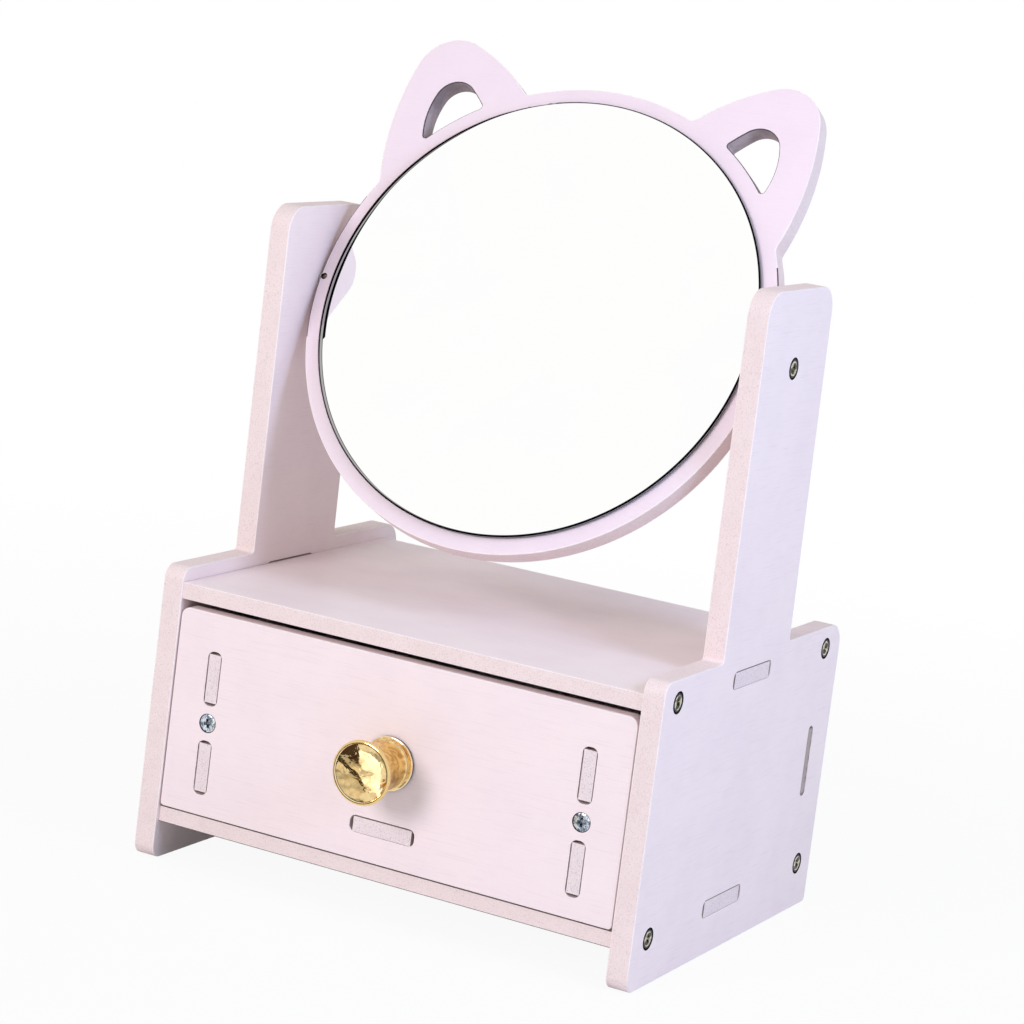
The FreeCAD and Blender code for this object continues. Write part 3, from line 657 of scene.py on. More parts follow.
def drawerBack():
    half, low, high = inside - d["backGap"], d["low"], d["low"] + d["sideHeight"]
    board = cutBoard("drawerBack", tenonedLoop((-half, low), (half, high), (0,) * 4), drawerSlots(),
                     across(d["backRear"] - d["board"] / 2), d["board"], d["backArris"], acrossFinishes)
    give(drill(board, countersinks(d["backRear"], 1)), "drawer", "drawer_back")


tipNear, tipFar = y(d["setback"] + d["tenonShy"]), y(d["backRear"] - d["tenonShy"])
drawerNear, drawerFar = y(drawerInner), y(drawerBackFront)
drawerCentre = (drawerNear + drawerFar) / 2


def finishTenons(board, past):
    # what of a board goes through the drawer's front and back, its sides in the slots dark with painted shade; past is
    # how far in from a tenon's end that counts
    repaint(board, tenonCheek, lambda at, way: abs(way.y) < 0.5 and not drawerNear - 0.2 < at.y < drawerFar + 0.2)
    repaint(board, tenonEnd, lambda at, way: abs(way.y) > 0.9 and not drawerNear - past < at.y < drawerFar + past)


def drawerSide(name, node, side):
    low, high, half = d["low"], d["low"] + d["sideHeight"], d["tenon"] / 2 + tenonFill
    pair = [(drawerMiddle + way * d["tenonOffset"], half) for way in (-1, 1)]
    outline = tenonedLoop((drawerNear, low), (drawerFar, high), (0, tipFar, 0, tipNear), ((), pair, (), pair))
    board = cutBoard(name, outline, [floorSlot(drawerCentre)], endOn(side * d["sideMiddle"]), d["board"],
                     d["sideArris"], deepFinishes)
    finishTenons(board, 1)
    give(evenLight(board), "drawer", node)


def drawerBottom():
    inner = d["sideMiddle"] - d["board"] / 2
    half, reach = d["floorTenon"] / 2 + tenonFill, inner + d["board"] - d["tenonShy"]
    outline = tenonedLoop((-inner, drawerNear), (inner, drawerFar), (tipNear, reach, tipFar, -reach),
                          [[(middle, half)] for middle in (0, drawerCentre) * 2])
    board = cutBoard("drawerBottom", outline, [], lying(floorMiddle), d["floor"], d["sideArris"], acrossFinishes)
    finishTenons(board, 0.2)
    repaint(board, tenonEnd, lambda at, way: abs(way.x) > 0.9 and abs(at.x) > inner + 1)
    give(evenLight(board), "drawer", "drawer_bottom")


drawerFront()
drawerBack()
drawerSide("drawerSideLeft", "drawer_side_left", -1)
drawerSide("drawerSideRight", "drawer_side_right", 1)
drawerBottom()
print("drawer is slotted together")

# mirror frame
mirrorSizes = {
    "radius": 90.8, "board": 8.2, "arris": 0.4, "tilt": 26.5, "holeArris": 0.8,
    "rootLow": 26.8, "rootHigh": 67.9, "rootFillet": 3.0, "tip": (67.2, 86.8), "tipRadius": 15.78,
    "tipStart": 12.0, "tipEnd": 106.0, "lowerBow": 3.1, "upperBow": 1.8,
    "holeLow": 40.8, "holeHigh": 57.0, "holeTip": (62.1, 76.9), "holeRadius": 8.4, "holeStart": 17.0,
    "holeEnd": 130.0, "holeBows": (1.66, 0.15), "holeGap": 0.8, "holeCorner": 1.2,
    "pinInset": 1.5, "pinWell": 1.25, "wellDepth": 6.2, "pinRadius": 0.9, "pinSink": 0.3,
    "shadeBeside": 72, "shadeLow": -24, "shadeHigh": 34,
}
m = mirrorSizes
tipped = Matrix.Translation(Vector((0, y(c["pivotSetback"]), c["pivotHeight"])) * mm)
tipped @= Matrix.Rotation(math.radians(-m["tilt"]), 4, "X")
mirrorPlane = tipped @ plane((1, 0, 0), (0, 0, 1), (0, -1, 0))
ringCentre = Vector((0, 0))


def onMirror(u, out):
    return mirrorPlane @ Matrix.Translation(Vector((u, 0, out)) * mm)


def mirrored(loop):
    return [Vector((-p.x, p.y)) for p in loop]


def onCircle(centre, radius, degrees):
    angle = math.radians(degrees)
    return Vector(centre) + radius * Vector((math.cos(angle), math.sin(angle)))


def bowed(start, end, bulge):
    # centre and radius of the arc from start to end that bows to the right of the way it runs
    chord = end - start
    side = Vector((chord.y, -chord.x)).normalized()
    radius = (chord.length ** 2 / 4 + bulge ** 2) / (2 * bulge)
    return (start + end) / 2 - side * (radius - bulge), radius


def meeting(first, firstRadius, second, secondRadius, near):
    # where two circles cross, the one of the two places that is nearer
    gap = second - first
    along = (firstRadius ** 2 - secondRadius ** 2 + gap.length_squared) / (2 * gap.length)
    off = math.sqrt(firstRadius ** 2 - along ** 2)
    way = gap.normalized()
    side = Vector((-way.y, way.x))
    return min((first + way * along + side * off * s for s in (-1, 1)), key=lambda p: (p - near).length)


def towards(centre, radius, point):
    return centre + (point - centre).normalized() * radius


def earLoop(radius, low, high, tip, tipRadius, tipStart, tipEnd, bows, fillet, outside):
    # from the ring up the ear's lower side, round its tip and back to the ring, both roots filleted
    rootLow, rootHigh = onCircle(ringCentre, radius, low), onCircle(ringCentre, radius, high)
    tipLow, tipHigh = onCircle(tip, tipRadius, tipStart), onCircle(tip, tipRadius, tipEnd)
    lowCentre, lowRadius = bowed(rootLow, tipLow, bows[0])
    highCentre, highRadius = bowed(tipHigh, rootHigh, bows[1])
    a = meeting(ringCentre, radius + fillet, lowCentre, lowRadius + outside * fillet, rootLow)
    b = meeting(ringCentre, radius + fillet, highCentre, highRadius + outside * fillet, rootHigh)
    loop = arcTo(a, towards(ringCentre, radius, a), towards(lowCentre, lowRadius, a))
    loop += arcTo(lowCentre, loop[-1], tipLow)[1:]
    loop += arcTo(Vector(tip), tipLow, tipHigh)[1:]
    loop += arcTo(highCentre, tipHigh, towards(highCentre, highRadius, b))[1:]
    return loop + arcTo(b, loop[-1], towards(ringCentre, radius, b))[1:]


def mirrorOutline():
    ear = earLoop(m["radius"], m["rootLow"], m["rootHigh"], m["tip"], m["tipRadius"], m["tipStart"], m["tipEnd"],
                  (m["lowerBow"], m["upperBow"]), m["rootFillet"], 1)
    half = arcTo(ringCentre, Vector((0, -m["radius"])), ear[0])[:-1] + ear
    half += arcTo(ringCentre, ear[-1], Vector((0, m["radius"])))[1:]
    return half + mirrored(half[-2:0:-1])


def earHole():
    edge = earLoop(m["radius"] + m["holeGap"], m["holeLow"], m["holeHigh"], m["holeTip"], m["holeRadius"],
                   m["holeStart"], m["holeEnd"], m["holeBows"], m["holeCorner"], -1)
    return edge + arcTo(ringCentre, edge[-1], edge[0])[1:-1]


def mirrorFrame():
    hole = earHole()
    holes = [(loop, m["holeArris"], True) for loop in (hole, mirrored(hole))]
    board = cutBoard("mirrorFrame", mirrorOutline(), holes, mirrorPlane, m["board"], m["arris"], frameFinishes)
    well = [(0, -m["wellDepth"]), (m["pinWell"], -m["wellDepth"]), (m["pinWell"], 1), (0, 1)]
    drill(board, [cutter(well, onMirror(side * (m["radius"] - m["pinInset"]), m["board"] / 2), 32)
                  for side in (-1, 1)])
    untilt = mirrorPlane.inverted()

    def nearPost(at, way):
        # the ring's eased front rim where it turns past a post, which gets a painted shade line
        flat = untilt @ (at * mm) / mm
        beside = abs(flat.x) > m["shadeBeside"] and m["shadeLow"] < flat.y < m["shadeHigh"]
        return flat.z > 0 and beside and flat.xy.length < m["radius"] + 0.5

    repaint(board, paintedShadeLine, nearPost, easedEdge)
    give(board, "mirror", "mirror_frame")


mirrorFrame()
print("mirror frame has its ears")

# glass, on a thin pad
glassSizes = {"radius": 84.9, "thickness": 2.0, "bevel": 0.6, "padRadius": 82.0, "pad": 0.3, "padArris": 0.05}
# the rim's bands in the silver (thick, grey, inner) are a painted reflection of the disc's edge, placed round it by
# angle; the bevel's bright dashes (broken) are a painted highlight
glassLook = {
    "silver": (254, 254, 253), "haze": (250, 251, 252), "smear": 0.02, "black": (6, 6, 7), "grey": (172, 170, 168),
    "edgeGrey": (176, 176, 178), "thickAt": 155, "thick": 1.0, "greyAt": 200, "greyWide": 0.85,
    "innerAt": 183, "innerWide": 0.85, "innerThin": 0.25, "innerStops": 14, "brokenAt": 110, "brokenHalf": 7,
    "edge": (14, 14, 15), "pad": (52, 50, 52), "padDeep": (30, 29, 31),
}
g = glassSizes


def mirrorCoordinates(place):
    # place on the mirror's own plane: the flat part, how far out it is, and the height
    there = wire(place.tree, "ShaderNodeMapping", {"Vector": place, "Location": mirrorPlane.translation,
                                                   "Rotation": mirrorPlane.to_euler()}, vector_type="TEXTURE")
    flat = vectors("MULTIPLY", there, (1, 1, 0))
    return flat, vectors("LENGTH", flat), part(there, 2)


def nearAngle(way, degrees):
    # 1 in that direction from the middle, falling off to 0 a quarter turn away
    aim = (math.cos(math.radians(degrees)), math.sin(math.radians(degrees)), 0)
    return calc("MAXIMUM", vectors("DOT_PRODUCT", way, aim))


def onset(value):
    return spread(value, -0.05, 0.05)


def silverFinish(name, look):
    # polished silver behind glass, wiped clean; round its rim, painted dark and grey bands stand for the disc's edge as
    # seen through the glass, a painted reflection
    material, place = newFinish(name)
    flat, away, height = mirrorCoordinates(place)
    way = vectors("NORMALIZE", flat)
    wiped = noise(flat, 22.0, 5.0, Distortion=1.2)
    dust = noise(flat, 2600.0, 1.0)
    inward = ((g["radius"] - g["bevel"]) * mm - away) / mm
    thick = nearAngle(way, look["thickAt"]) ** 3.0 * look["thick"]
    greyEnd = thick + nearAngle(way, look["greyAt"]) ** 2.0 * look["greyWide"]
    past = nearAngle(way, look["innerAt"] + 90) - nearAngle(way, look["innerAt"] - 90)
    stop = math.sin(math.radians(look["innerStops"]))
    swell = spread(past, -0.5, -0.1) * spread(past, stop, stop + 0.01, 1.0, 0.0)
    wide = (swell * look["innerWide"] + look["innerThin"]) * spread(nearAngle(way, look["innerAt"]), 0.45, 0.62)
    black = calc("MAXIMUM", onset(thick - inward), onset(inward - greyEnd) * onset(greyEnd + wide - inward))
    colour = mixed(spread(wiped, 0.45, 0.75, 0.0, 0.5), look["silver"], look["haze"])
    colour = mixed(onset(greyEnd - inward), colour, look["grey"])
    rough = spread(wiped, 0.5, 0.8, 0.004, look["smear"]) + spread(dust, 0.7, 0.8, 0.0, 0.04)
    return finished(material, mixed(black, colour, look["black"]), rough, bumped(wiped, 0.02, 0.01), 1.0)


def bevelFinish(name, look):
    # the ground bevel: black, a painted dark reflection, but for a stretch at the top with a painted highlight in
    # dashes
    material, place = newFinish(name)
    flat, away, height = mirrorCoordinates(place)
    dashes = noise(flat, 190.0, 1.0)
    grind = noise(flat, 1500.0, 3.0)
    close = math.cos(math.radians(look["brokenHalf"]))
    broken = spread(nearAngle(vectors("NORMALIZE", flat), look["brokenAt"]), close - 0.004, close + 0.004)
    dark = mixed(spread(grind, 0.4, 0.7, 0.0, 0.3), look["black"], look["edge"])
    colour = mixed(broken * spread(dashes, 0.46, 0.52), dark, look["silver"])
    return finished(material, colour, spread(grind, 0.3, 0.7, 0.05, 0.16), bumped(grind, 0.1, 0.01), 1.0)


def edgeFinish(name, look):
    # the disc's wall: nearly black, a painted dark reflection, with a grey line next to the bevel
    material, place = newFinish(name)
    flat, away, height = mirrorCoordinates(place)
    top = (m["board"] / 2 + g["pad"] + g["thickness"] - g["bevel"]) * mm
    grind = noise(flat, 900.0, 3.0)
    paint = mixed(grind, look["edge"], look["black"])
    colour = mixed(spread(height, top - 0.3 * mm, top - 0.22 * mm), paint, look["edgeGrey"])
    return finished(material, colour, spread(grind, 0.3, 0.7, 0.25, 0.45), bumped(grind, 0.3, 0.02))


def plainFinish(name, colour, other, roughness, size, bumpDepth, specular):
    # a moulded surface: two tones, uneven gloss, a fine bump
    material, place = newFinish(name)
    grain = noise(place, 1 / (size * mm), 4.0)
    tone = mixed(spread(grain, 0.35, 0.65), colour, other)
    rough = spread(grain, 0.3, 0.7, *roughness)
    return finished(material, tone, rough, bumped(grain, 0.4, bumpDepth), specular=specular)


silver = silverFinish("mirrorSilver", glassLook)
groundBevel = bevelFinish("mirrorBevel", glassLook)
glassEdge = edgeFinish("glassEdge", glassLook)
padFoam = plainFinish("padFoam", glassLook["pad"], glassLook["padDeep"], (0.8, 0.95), 0.3, 0.08, 0.2)


def glassDisc():
    place = onMirror(0, m["board"] / 2 + g["pad"] + g["thickness"] / 2)
    disc = cutBoard("mirrorGlass", roundLoop(g["radius"], 360), [], place, g["thickness"], g["bevel"],
                    (silver, glassEdge, groundBevel, glassEdge, glassEdge), glassTree)
    give(evenLight(disc), "mirror", "mirror_glass")


def padDisc():
    place = onMirror(0, m["board"] / 2 + g["pad"] / 2)
    disc = cutBoard("mirrorPad", roundLoop(g["padRadius"], 240), [], place, g["pad"], g["padArris"], [padFoam] * 5)
    give(disc, "mirror", "mirror_pad")


glassDisc()
padDisc()
print("glass is stuck on")

# knob
knobSizes = {
    "length": 20.5, "flangeRadius": 9.7, "flange": 1.6, "groove": 8.5, "collar": 8.9, "collarEnd": 3.8,
    "waist": 7.6, "waistOut": 12.0, "disc": 11.4, "discThickness": 1.9, "dish": 10.1, "dishDepth": 1.8,
    "rimRound": 0.9, "step": 0.4, "footGap": 0.6, "rimGroove": 10.5, "grooveHalf": 0.12, "grooveDepth": 0.15,
    "dishRings": 24, "sides": 128,
}
# the knob's deeper golds, its dark lines and its dark foot are painted reflection and shade
# lines are the rim's two grooves, from and to, out from the knob's middle
knobLook = {
    "gold": (246, 225, 186), "deep": (208, 170, 112), "toneShare": 0.6, "roughness": (0.035, 0.09),
    "turning": 0.05, "hammer": 0.3, "body": (232, 200, 132), "waist": (240, 200, 104),
    "waistDeep": (184, 138, 54), "bodyShare": 0.85, "grooveShade": (92, 66, 34),
    "lines": ((9.92, 10.12), (10.4, 10.6)), "lineSoft": 0.04, "foot": (40, 30, 20),
}
k = knobSizes


def brassFinish(name, look):
    # turned and polished brass: fine rings round the knob's own line, a soft hammered wave, slow changes of tone
    material, place = newFinish(name)
    tree = place.tree
    centred = wire(tree, "ShaderNodeMapping", {"Vector": place, "Location": (0, 0, -knobHeight * mm)})
    away = vectors("LENGTH", vectors("MULTIPLY", centred, (1, 0, 1)))
    rings = wire(tree, "ShaderNodeTexNoise", {"W": away, "Scale": 3200.0, "Detail": 2.0}, noise_dimensions="1D")
    tone = noise(place, 260.0, 4.0, Distortion=1.5)
    wave = noise(place, 240.0, 1.5, Distortion=0.8)
    fine = noise(place, 1800.0, 3.0)
    colour = mixed(spread(tone, 0.45, 0.7, 0.0, look["toneShare"]), look["gold"], look["deep"])
    # painted reflection: past the dish the gold is deeper
    pastDish = spread(away, (k["dish"] + 0.25) * mm, (k["dish"] + 0.45) * mm)
    colour = mixed(pastDish * look["bodyShare"], colour, look["body"])
    # painted reflection: a deeper gold in the waist; painted shade in the rim's two lines and a painted contact shadow
    # against the drawer
    out = part(place, 1)
    face, disc = y(d["setback"]) * mm, k["length"] - k["discThickness"]
    behind = spread(out, face - (disc + 1.2) * mm, face - (disc - 1.5) * mm)
    waist = behind * spread(away, 8.3 * mm, 9.6 * mm, 1.0, 0.0)
    waistReflection = mixed(spread(tone, 0.4, 0.62), look["waist"], look["waistDeep"])
    colour = mixed(waist * look["bodyShare"], colour, waistReflection)
    lines = calc("MAXIMUM", *(within(away, low * mm, high * mm, look["lineSoft"] * mm) for low, high in look["lines"]))
    inFront = spread(out, face - 19.7 * mm, face - 19.4 * mm, 1.0, 0.0)
    colour = mixed(lines * inFront, colour, look["grooveShade"])
    colour = mixed(spread(out, face - 1.1 * mm, face - 0.95 * mm), colour, look["foot"])
    rough = spread(fine, 0.35, 0.7, *look["roughness"])
    hammered = bumped(wave, look["hammer"], 0.3)
    return finished(material, colour, rough, bumped(rings, look["turning"], 0.01, hammered), 1.0)


brass = brassFinish("turnedBrass", knobLook)


def arcThrough(start, middle, end, count):
    # points on the arc through three places, without the first
    (ax, ay), (bx, by), (cx, cy) = start, middle, end
    det = 2 * (ax * (by - cy) + bx * (cy - ay) + cx * (ay - by))
    a, b, e = ax * ax + ay * ay, bx * bx + by * by, cx * cx + cy * cy
    centre = Vector(((a * (by - cy) + b * (cy - ay) + e * (ay - by)) / det,
                     (a * (cx - bx) + b * (ax - cx) + e * (bx - ax)) / det))
    first, last = Vector(start) - centre, Vector(end) - centre
    radius = first.length
    sweep = math.atan2(first.cross(last), first.dot(last))
    begin = math.atan2(first.y, first.x)
    return [(centre.x + radius * math.cos(begin + sweep * i / count),
             centre.y + radius * math.sin(begin + sweep * i / count)) for i in range(1, count + 1)]


def drawerKnob():
    step, bead, foot, groove = k["step"], k["rimRound"], k["footGap"], k["groove"]
    wide, flange, collarEnd, waist, waistOut = (
        k[word] for word in ("flangeRadius", "flange", "collarEnd", "waist", "waistOut"))
    top, under = k["length"], k["length"] - k["discThickness"]
    line, half, sink = k["rimGroove"], k["grooveHalf"], k["grooveDepth"]
    profile = [(0, 0), (groove, 0), (groove, foot), (wide, foot), (wide, flange - step)]

    def swing(middle, end, count=14):
        profile.extend(arcThrough(profile[-1], middle, end, count))

    swing((wide - step * 0.3, flange - step * 0.3), (wide - step, flange), 5)
    profile += [(groove, flange + step / 2), (groove, flange + step), (k["collar"], flange + step * 2),
                (k["collar"], collarEnd), (groove, collarEnd + step)]
    swing((waist + step * 0.6, (collarEnd + waistOut) / 2), (waist, waistOut))
    swing((waist + step * 2, (waistOut + under) / 2 + step), (k["disc"] - bead, under))
    swing((k["disc"], top - bead), (k["disc"] - bead, top))
    profile += [(line + half, top - sink / 2), (line, top - sink), (line - half, top - sink / 2)]
    rim, sunk = top - step, k["dishDepth"] - step
    bowl = (k["dish"] ** 2 + sunk ** 2) / (2 * sunk)
    radii = [k["dish"] * (1 - i / k["dishRings"]) for i in range(1, k["dishRings"] + 1)]
    profile += [(k["dish"], rim)] + [(r, rim - sunk + bowl - math.sqrt(bowl ** 2 - r ** 2)) for r in radii]
    knob = turned("drawerKnob", profile, facing((0, y(d["setback"]), knobHeight), (0, -1, 0)), brass, k["sides"])
    give(evenLight(knob), "drawer", "drawer_knob")


drawerKnob()
print("knob is turned")

# screws
screwLook = {
    "nickel": (216, 210, 190), "nickelDeep": (104, 92, 68), "zinc": (220, 228, 240), "zincDeep": (92, 104, 122),
    "recess": (226, 220, 196), "recessDeep": (96, 84, 58), "zincRecess": (150, 160, 172), "zincShade": (62, 70, 80),
    "seed": 7,
}
# painted light on a head: a bright rim, a dark edge, two dark hollows
paintedHeadLook = {
    "rim": (250, 247, 234), "rimFrom": 2.15, "rimTo": 2.55, "rimSoft": 0.12, "hollow": (10, 8, 5),
    "hollowAt": (-1.15, 0.5), "hollowSize": (1.1, 1.9), "edge": (6, 5, 5), "edgeFrom": 2.62, "edgeSoft": 0.08,
}


def headLightAndShade(colour, patch, look):
    # painted shade on the head's edge, a painted highlight on its rim, and painted shade in the two hollows of the
    # cross with painted light between them
    onHead = wire(colour.tree, "ShaderNodeAttribute", out="Vector", attribute_name="headPlace")
    flat = vectors("MULTIPLY", onHead, (1, 1, 0))
    away = vectors("LENGTH", flat)
    rim = within(away, look["rimFrom"] * mm, look["rimTo"] * mm, look["rimSoft"] * mm)
    colour = mixed(rim * spread(patch, 0.36, 0.56, 1.0, 0.15), colour, look["rim"])
    up, side = look["hollowAt"]
    tall, wide = look["hollowSize"]
    isHead = spread(away, 0.0, 0.02 * mm)
    for way in (-1, 1):
        off = vectors("SUBTRACT", flat, (way * up * mm, way * side * mm, 0))
        reach = vectors("LENGTH", vectors("DIVIDE", off, (tall * mm, wide * mm, 1)))
        hollow = spread(reach + (patch - 0.5) * 0.9, 0.75, 1.1, 1.0, 0.0)
        colour = mixed(hollow * isHead, colour, look["hollow"])
    start, soft = look["edgeFrom"] * mm, look["edgeSoft"] * mm
    return mixed(spread(away, start - soft, start + soft), colour, look["edge"])


def platedFinish(name, base, roughness, patchSize, bumpDepth, tones=(0.42, 0.62), headLight=None):
    # plated steel: uneven plating, drawn scratches, a faint bump, and on a head its painted highlight and shade
    material, place = newFinish(name)
    patch = noise(place, 1 / (patchSize * mm), 4.0, Distortion=1.0)
    scratch = noise(place, 3800.0, 2.0)
    colour = mixed(spread(patch, *tones), *(screwLook[word] for word in base))
    if headLight:
        colour = headLightAndShade(colour, patch, headLight)
    rough = spread(scratch, 0.3, 0.7, *roughness)
    return finished(material, colour, rough, bumped(patch + scratch * 0.2, 0.5, bumpDepth), 1.0)


headParts = ((0.14, 0.3), 10 / 9, 0.15, (0.4, 0.65), paintedHeadLook)
nickel = platedFinish("nickelScrew", ("nickel", "nickelDeep"), *headParts)
nickelPin = platedFinish("nickelPin", ("nickel", "nickelDeep"), (0.15, 0.3), 2.0, 0.1)
zinc = platedFinish("zincScrew", ("zinc", "zincDeep"), (0.12, 0.3), 1.3, 0.3)
recess = platedFinish("screwRecess", ("recess", "recessDeep"), *headParts)
# painted shade: the zinc cross's walls darker than its head
zincRecess = platedFinish("zincRecess", ("zincRecess", "zincShade"), (0.2, 0.4), 0.8, 0.2)
caseScrew = {"Head Radius": 3.25, "Head Height": 2.37, "Crown": 0.05, "Under Radius": 3.25, "Shank Radius": 1.75,
             "Length": 26.0, "Recess Arm": 1.9, "Recess Width": 1.0, "Recess Depth": 0.45}
drawerScrew = {"Head Radius": 3.2, "Head Height": 2.2, "Crown": 0.25, "Under Radius": 1.4, "Shank Radius": 1.4,
               "Length": 22.0, "Recess Arm": 2.5, "Recess Width": 1.2, "Recess Depth": 1.2}
pivotScrew = dict(caseScrew, **{"Shank Radius": 2.0, "Length": 19.0})
knobScrew = dict(caseScrew, **{"Shank Radius": 2.0, "Length": 15.0})
knobHeadOut = 2.2   # how far the knob's screw head stands off the drawer front's inner face


def buildScrewTree():
    # a cross-headed screw at every point, its head to the way the point faces
    inputs = {"Places": "Geometry", **dict.fromkeys(caseScrew, "Float"), "Seed": "Int", "Metal": "Material",
              "Recess Finish": "Material"}
    tree, given = newGroup("screwsOnPoints", inputs, "Screws")
    headRadius, headHeight, crown, underRadius, shankRadius, length, arm, width, depth = (
        given[label] for label in caseScrew)
    position = wire(tree, "GeometryNodeInputPosition")
    height = part(position, 2)
    away = vectors("LENGTH", vectors("MULTIPLY", position, (1, 1, 0)))
    # head: a disc whose top is domed and whose underside narrows to its seat
    head = wire(tree, "GeometryNodeMeshCylinder", {"Vertices": 48, "Side Segments": 2, "Fill Segments": 10,
                                                   "Radius": headRadius, "Depth": headHeight})
    fall = (away / headRadius) ** 3.2 * crown * -1.0
    domed = moved(head, calc("GREATER_THAN", height, 0.0001 * mm), Offset=vector(tree, z=fall))
    below = calc("LESS_THAN", height, -0.0001 * mm)
    narrow = underRadius / headRadius
    seated = moved(domed, below, Position=vectors("MULTIPLY", position, vector(tree, narrow, narrow, 1.0)))
    headDown = shifted(seated, headHeight * -0.5)
    # cross: two wedges that narrow as they go in
    wedge = wire(tree, "GeometryNodeMeshCube", {"Size": vector(tree, arm * 2.0, width, depth * 2.0), "Vertices X": 3})
    tapered = moved(wedge, below, Position=vectors("MULTIPLY", position, (0.35, 0.8, 1.0)))
    crossed = wire(tree, "GeometryNodeTransform", {"Geometry": tapered, "Rotation": (0, 0, math.pi / 2)})
    wedges = [painted(store(shape, "recessWall", 1.0, "FLOAT", "FACE"), given["Recess Finish"])
              for shape in (tapered, crossed)]
    cut = wire(tree, "GeometryNodeMeshBoolean", {"Mesh 1": headDown, "Mesh 2": wedges}, operation="DIFFERENCE",
               solver="EXACT")
    # shank with a short point
    stem = length - shankRadius * 2.0
    shank = wire(tree, "GeometryNodeMeshCylinder", {"Vertices": 24, "Radius": shankRadius, "Depth": stem})
    point = wire(tree, "GeometryNodeMeshCone", {"Vertices": 24, "Radius Top": shankRadius,
                                                "Radius Bottom": shankRadius * 0.2, "Depth": shankRadius * 2.0})
    lap = headHeight * 0.98
    shaft = [shifted(shank, stem * -0.5 - lap), shifted(point, lap * -1.0 - length)]
    body = wire(tree, "GeometryNodeJoinGeometry", {0: shaft})
    # the head keeps its own flat coordinates for its finish
    marked = store(cut, "headPlace", position, "FLOAT_VECTOR", "POINT")
    screw = wire(tree, "GeometryNodeJoinGeometry", {0: [marked, body]})
    # one at each point, each cross turned its own way
    way = stored(tree, "facing", "FLOAT_VECTOR")
    aligned = wire(tree, "FunctionNodeAlignRotationToVector", {"Vector": way}, axis="Z")
    angle = wire(tree, "FunctionNodeRandomValue", {2: -0.3, 3: 0.4, "Seed": given["Seed"]}, 1, data_type="FLOAT")
    twist = wire(tree, "FunctionNodeAxisAngleToRotation", {"Axis": (0, 0, 1), "Angle": angle})
    turn = wire(tree, "FunctionNodeRotateRotation", {0: aligned, 1: twist}, rotation_space="LOCAL")
    placed = wire(tree, "GeometryNodeInstanceOnPoints", {"Points": given["Places"], "Instance": screw,
                                                         "Rotation": turn})
    real = wire(tree, "GeometryNodeRealizeInstances", {"Geometry": placed})
    plated = calc("LESS_THAN", stored(tree, "recessWall"), 0.5)
    put(tree, "NodeGroupOutput", {0: painted(real, given["Metal"], plated)})
    return tree


screwTree = buildScrewTree()


def screws(name, places, sizes, metal, inner, place=None):
    # places are (point, way the head faces) in mm
    mesh = bpy.data.meshes.new(name)
    mesh.from_pydata([Vector(p) * mm for p, way in places], [], [])
    ways = [value for p, way in places for value in way]
    mesh.attributes.new("facing", "FLOAT_VECTOR", "POINT").data.foreach_set("vector", ways)
    values = {label: value * mm for label, value in sizes.items()}
    values.update({"Seed": screwLook["seed"], "Metal": metal, "Recess Finish": inner})
    return modelled(name, mesh, screwTree, values, place, sharp=35)


headOut = c["halfWidth"] - c["boreDepth"] + caseScrew["Head Height"]
casePlaces = [((side * headOut, y(s), z), (side, 0, 0)) for side in (-1, 1) for s, z in caseScrewPlaces]
give(screws("caseScrews", casePlaces, caseScrew, nickel, recess), "case",
     ["case_screws_left", "case_screws_right"])
drawerPlaces = [((side * d["sideMiddle"], y(face), drawerMiddle), (0, way, 0))
                for face, way in ((d["setback"], -1), (d["backRear"], 1)) for side in (-1, 1)]
give(screws("drawerScrews", drawerPlaces, drawerScrew, zinc, zincRecess), "drawer",
     ["drawer_screws_front", "drawer_screws_back"])
knobPlace = [((0, y(drawerInner + knobHeadOut), knobHeight), (0, 1, 0))]
give(screws("knobScrew", knobPlace, knobScrew, nickel, recess), "drawer", "knob_screw")
pivotPlaces = [((side * c["halfWidth"], 0, 0), (side, 0, 0)) for side in (-1, 1)]
give(screws("pivotScrews", pivotPlaces, pivotScrew, nickel, recess, tipped), "mirror",
     ["pivot_screw_left", "pivot_screw_right"])
print("screws are driven")

# washers and lock pins
washerLook = {"nylon": (206, 204, 208), "shade": (186, 184, 190)}
washerSizes = {"bore": 2.05, "radius": 3.5, "thickness": 0.7, "arris": 0.15}
nylon = plainFinish("nylonWasher", washerLook["nylon"], washerLook["shade"], (0.4, 0.55), 0.6, 0.02, 0.5)


def washersAndPins():
    bore, wide, thick, arris = (washerSizes[word] for word in ("bore", "radius", "thickness", "arris"))
    flat = wide - arris
    ring = [(bore, 0), (flat, 0), (wide, arris), (wide, thick - arris), (flat, thick), (bore, thick), (bore, 0)]
    r, long = m["pinRadius"], m["board"] - 2 * m["pinSink"]
    stick = [(0, -long), (r, -long), (r, -r * 0.5), (r * 0.85, -r * 0.15), (r * 0.5, 0), (0, 0)]
    for side, word in ((-1, "left"), (1, "right")):
        at = tipped @ facing((side * m["radius"], 0, 0), (side, 0, 0))
        washer = turned("pivotWasher" + word.title(), ring, at, nylon, 48)
        give(washer, "mirror", "pivot_washer_" + word)
        at = onMirror(side * (m["radius"] - m["pinInset"]), m["board"] / 2 - m["pinSink"])
        pin = turned("lockPin" + word.title(), stick, at, nickelPin, 32)
        give(pin, "mirror", "lock_pin_" + word)


washersAndPins()
print("washers and lock pins are in")

# floor, light and camera
stageLook = {
    "floor": (222, 223, 226), "shadowShare": 0.07, "fadeFrom": 220.0, "fadeTo": 700.0, "floorRadius": 14000.0,
    "floorDrop": 0.2, "ambient": (254, 255, 248), "ambientStrength": 0.5, "underCase": (58, 66, 58), "underSoft": 4,
}
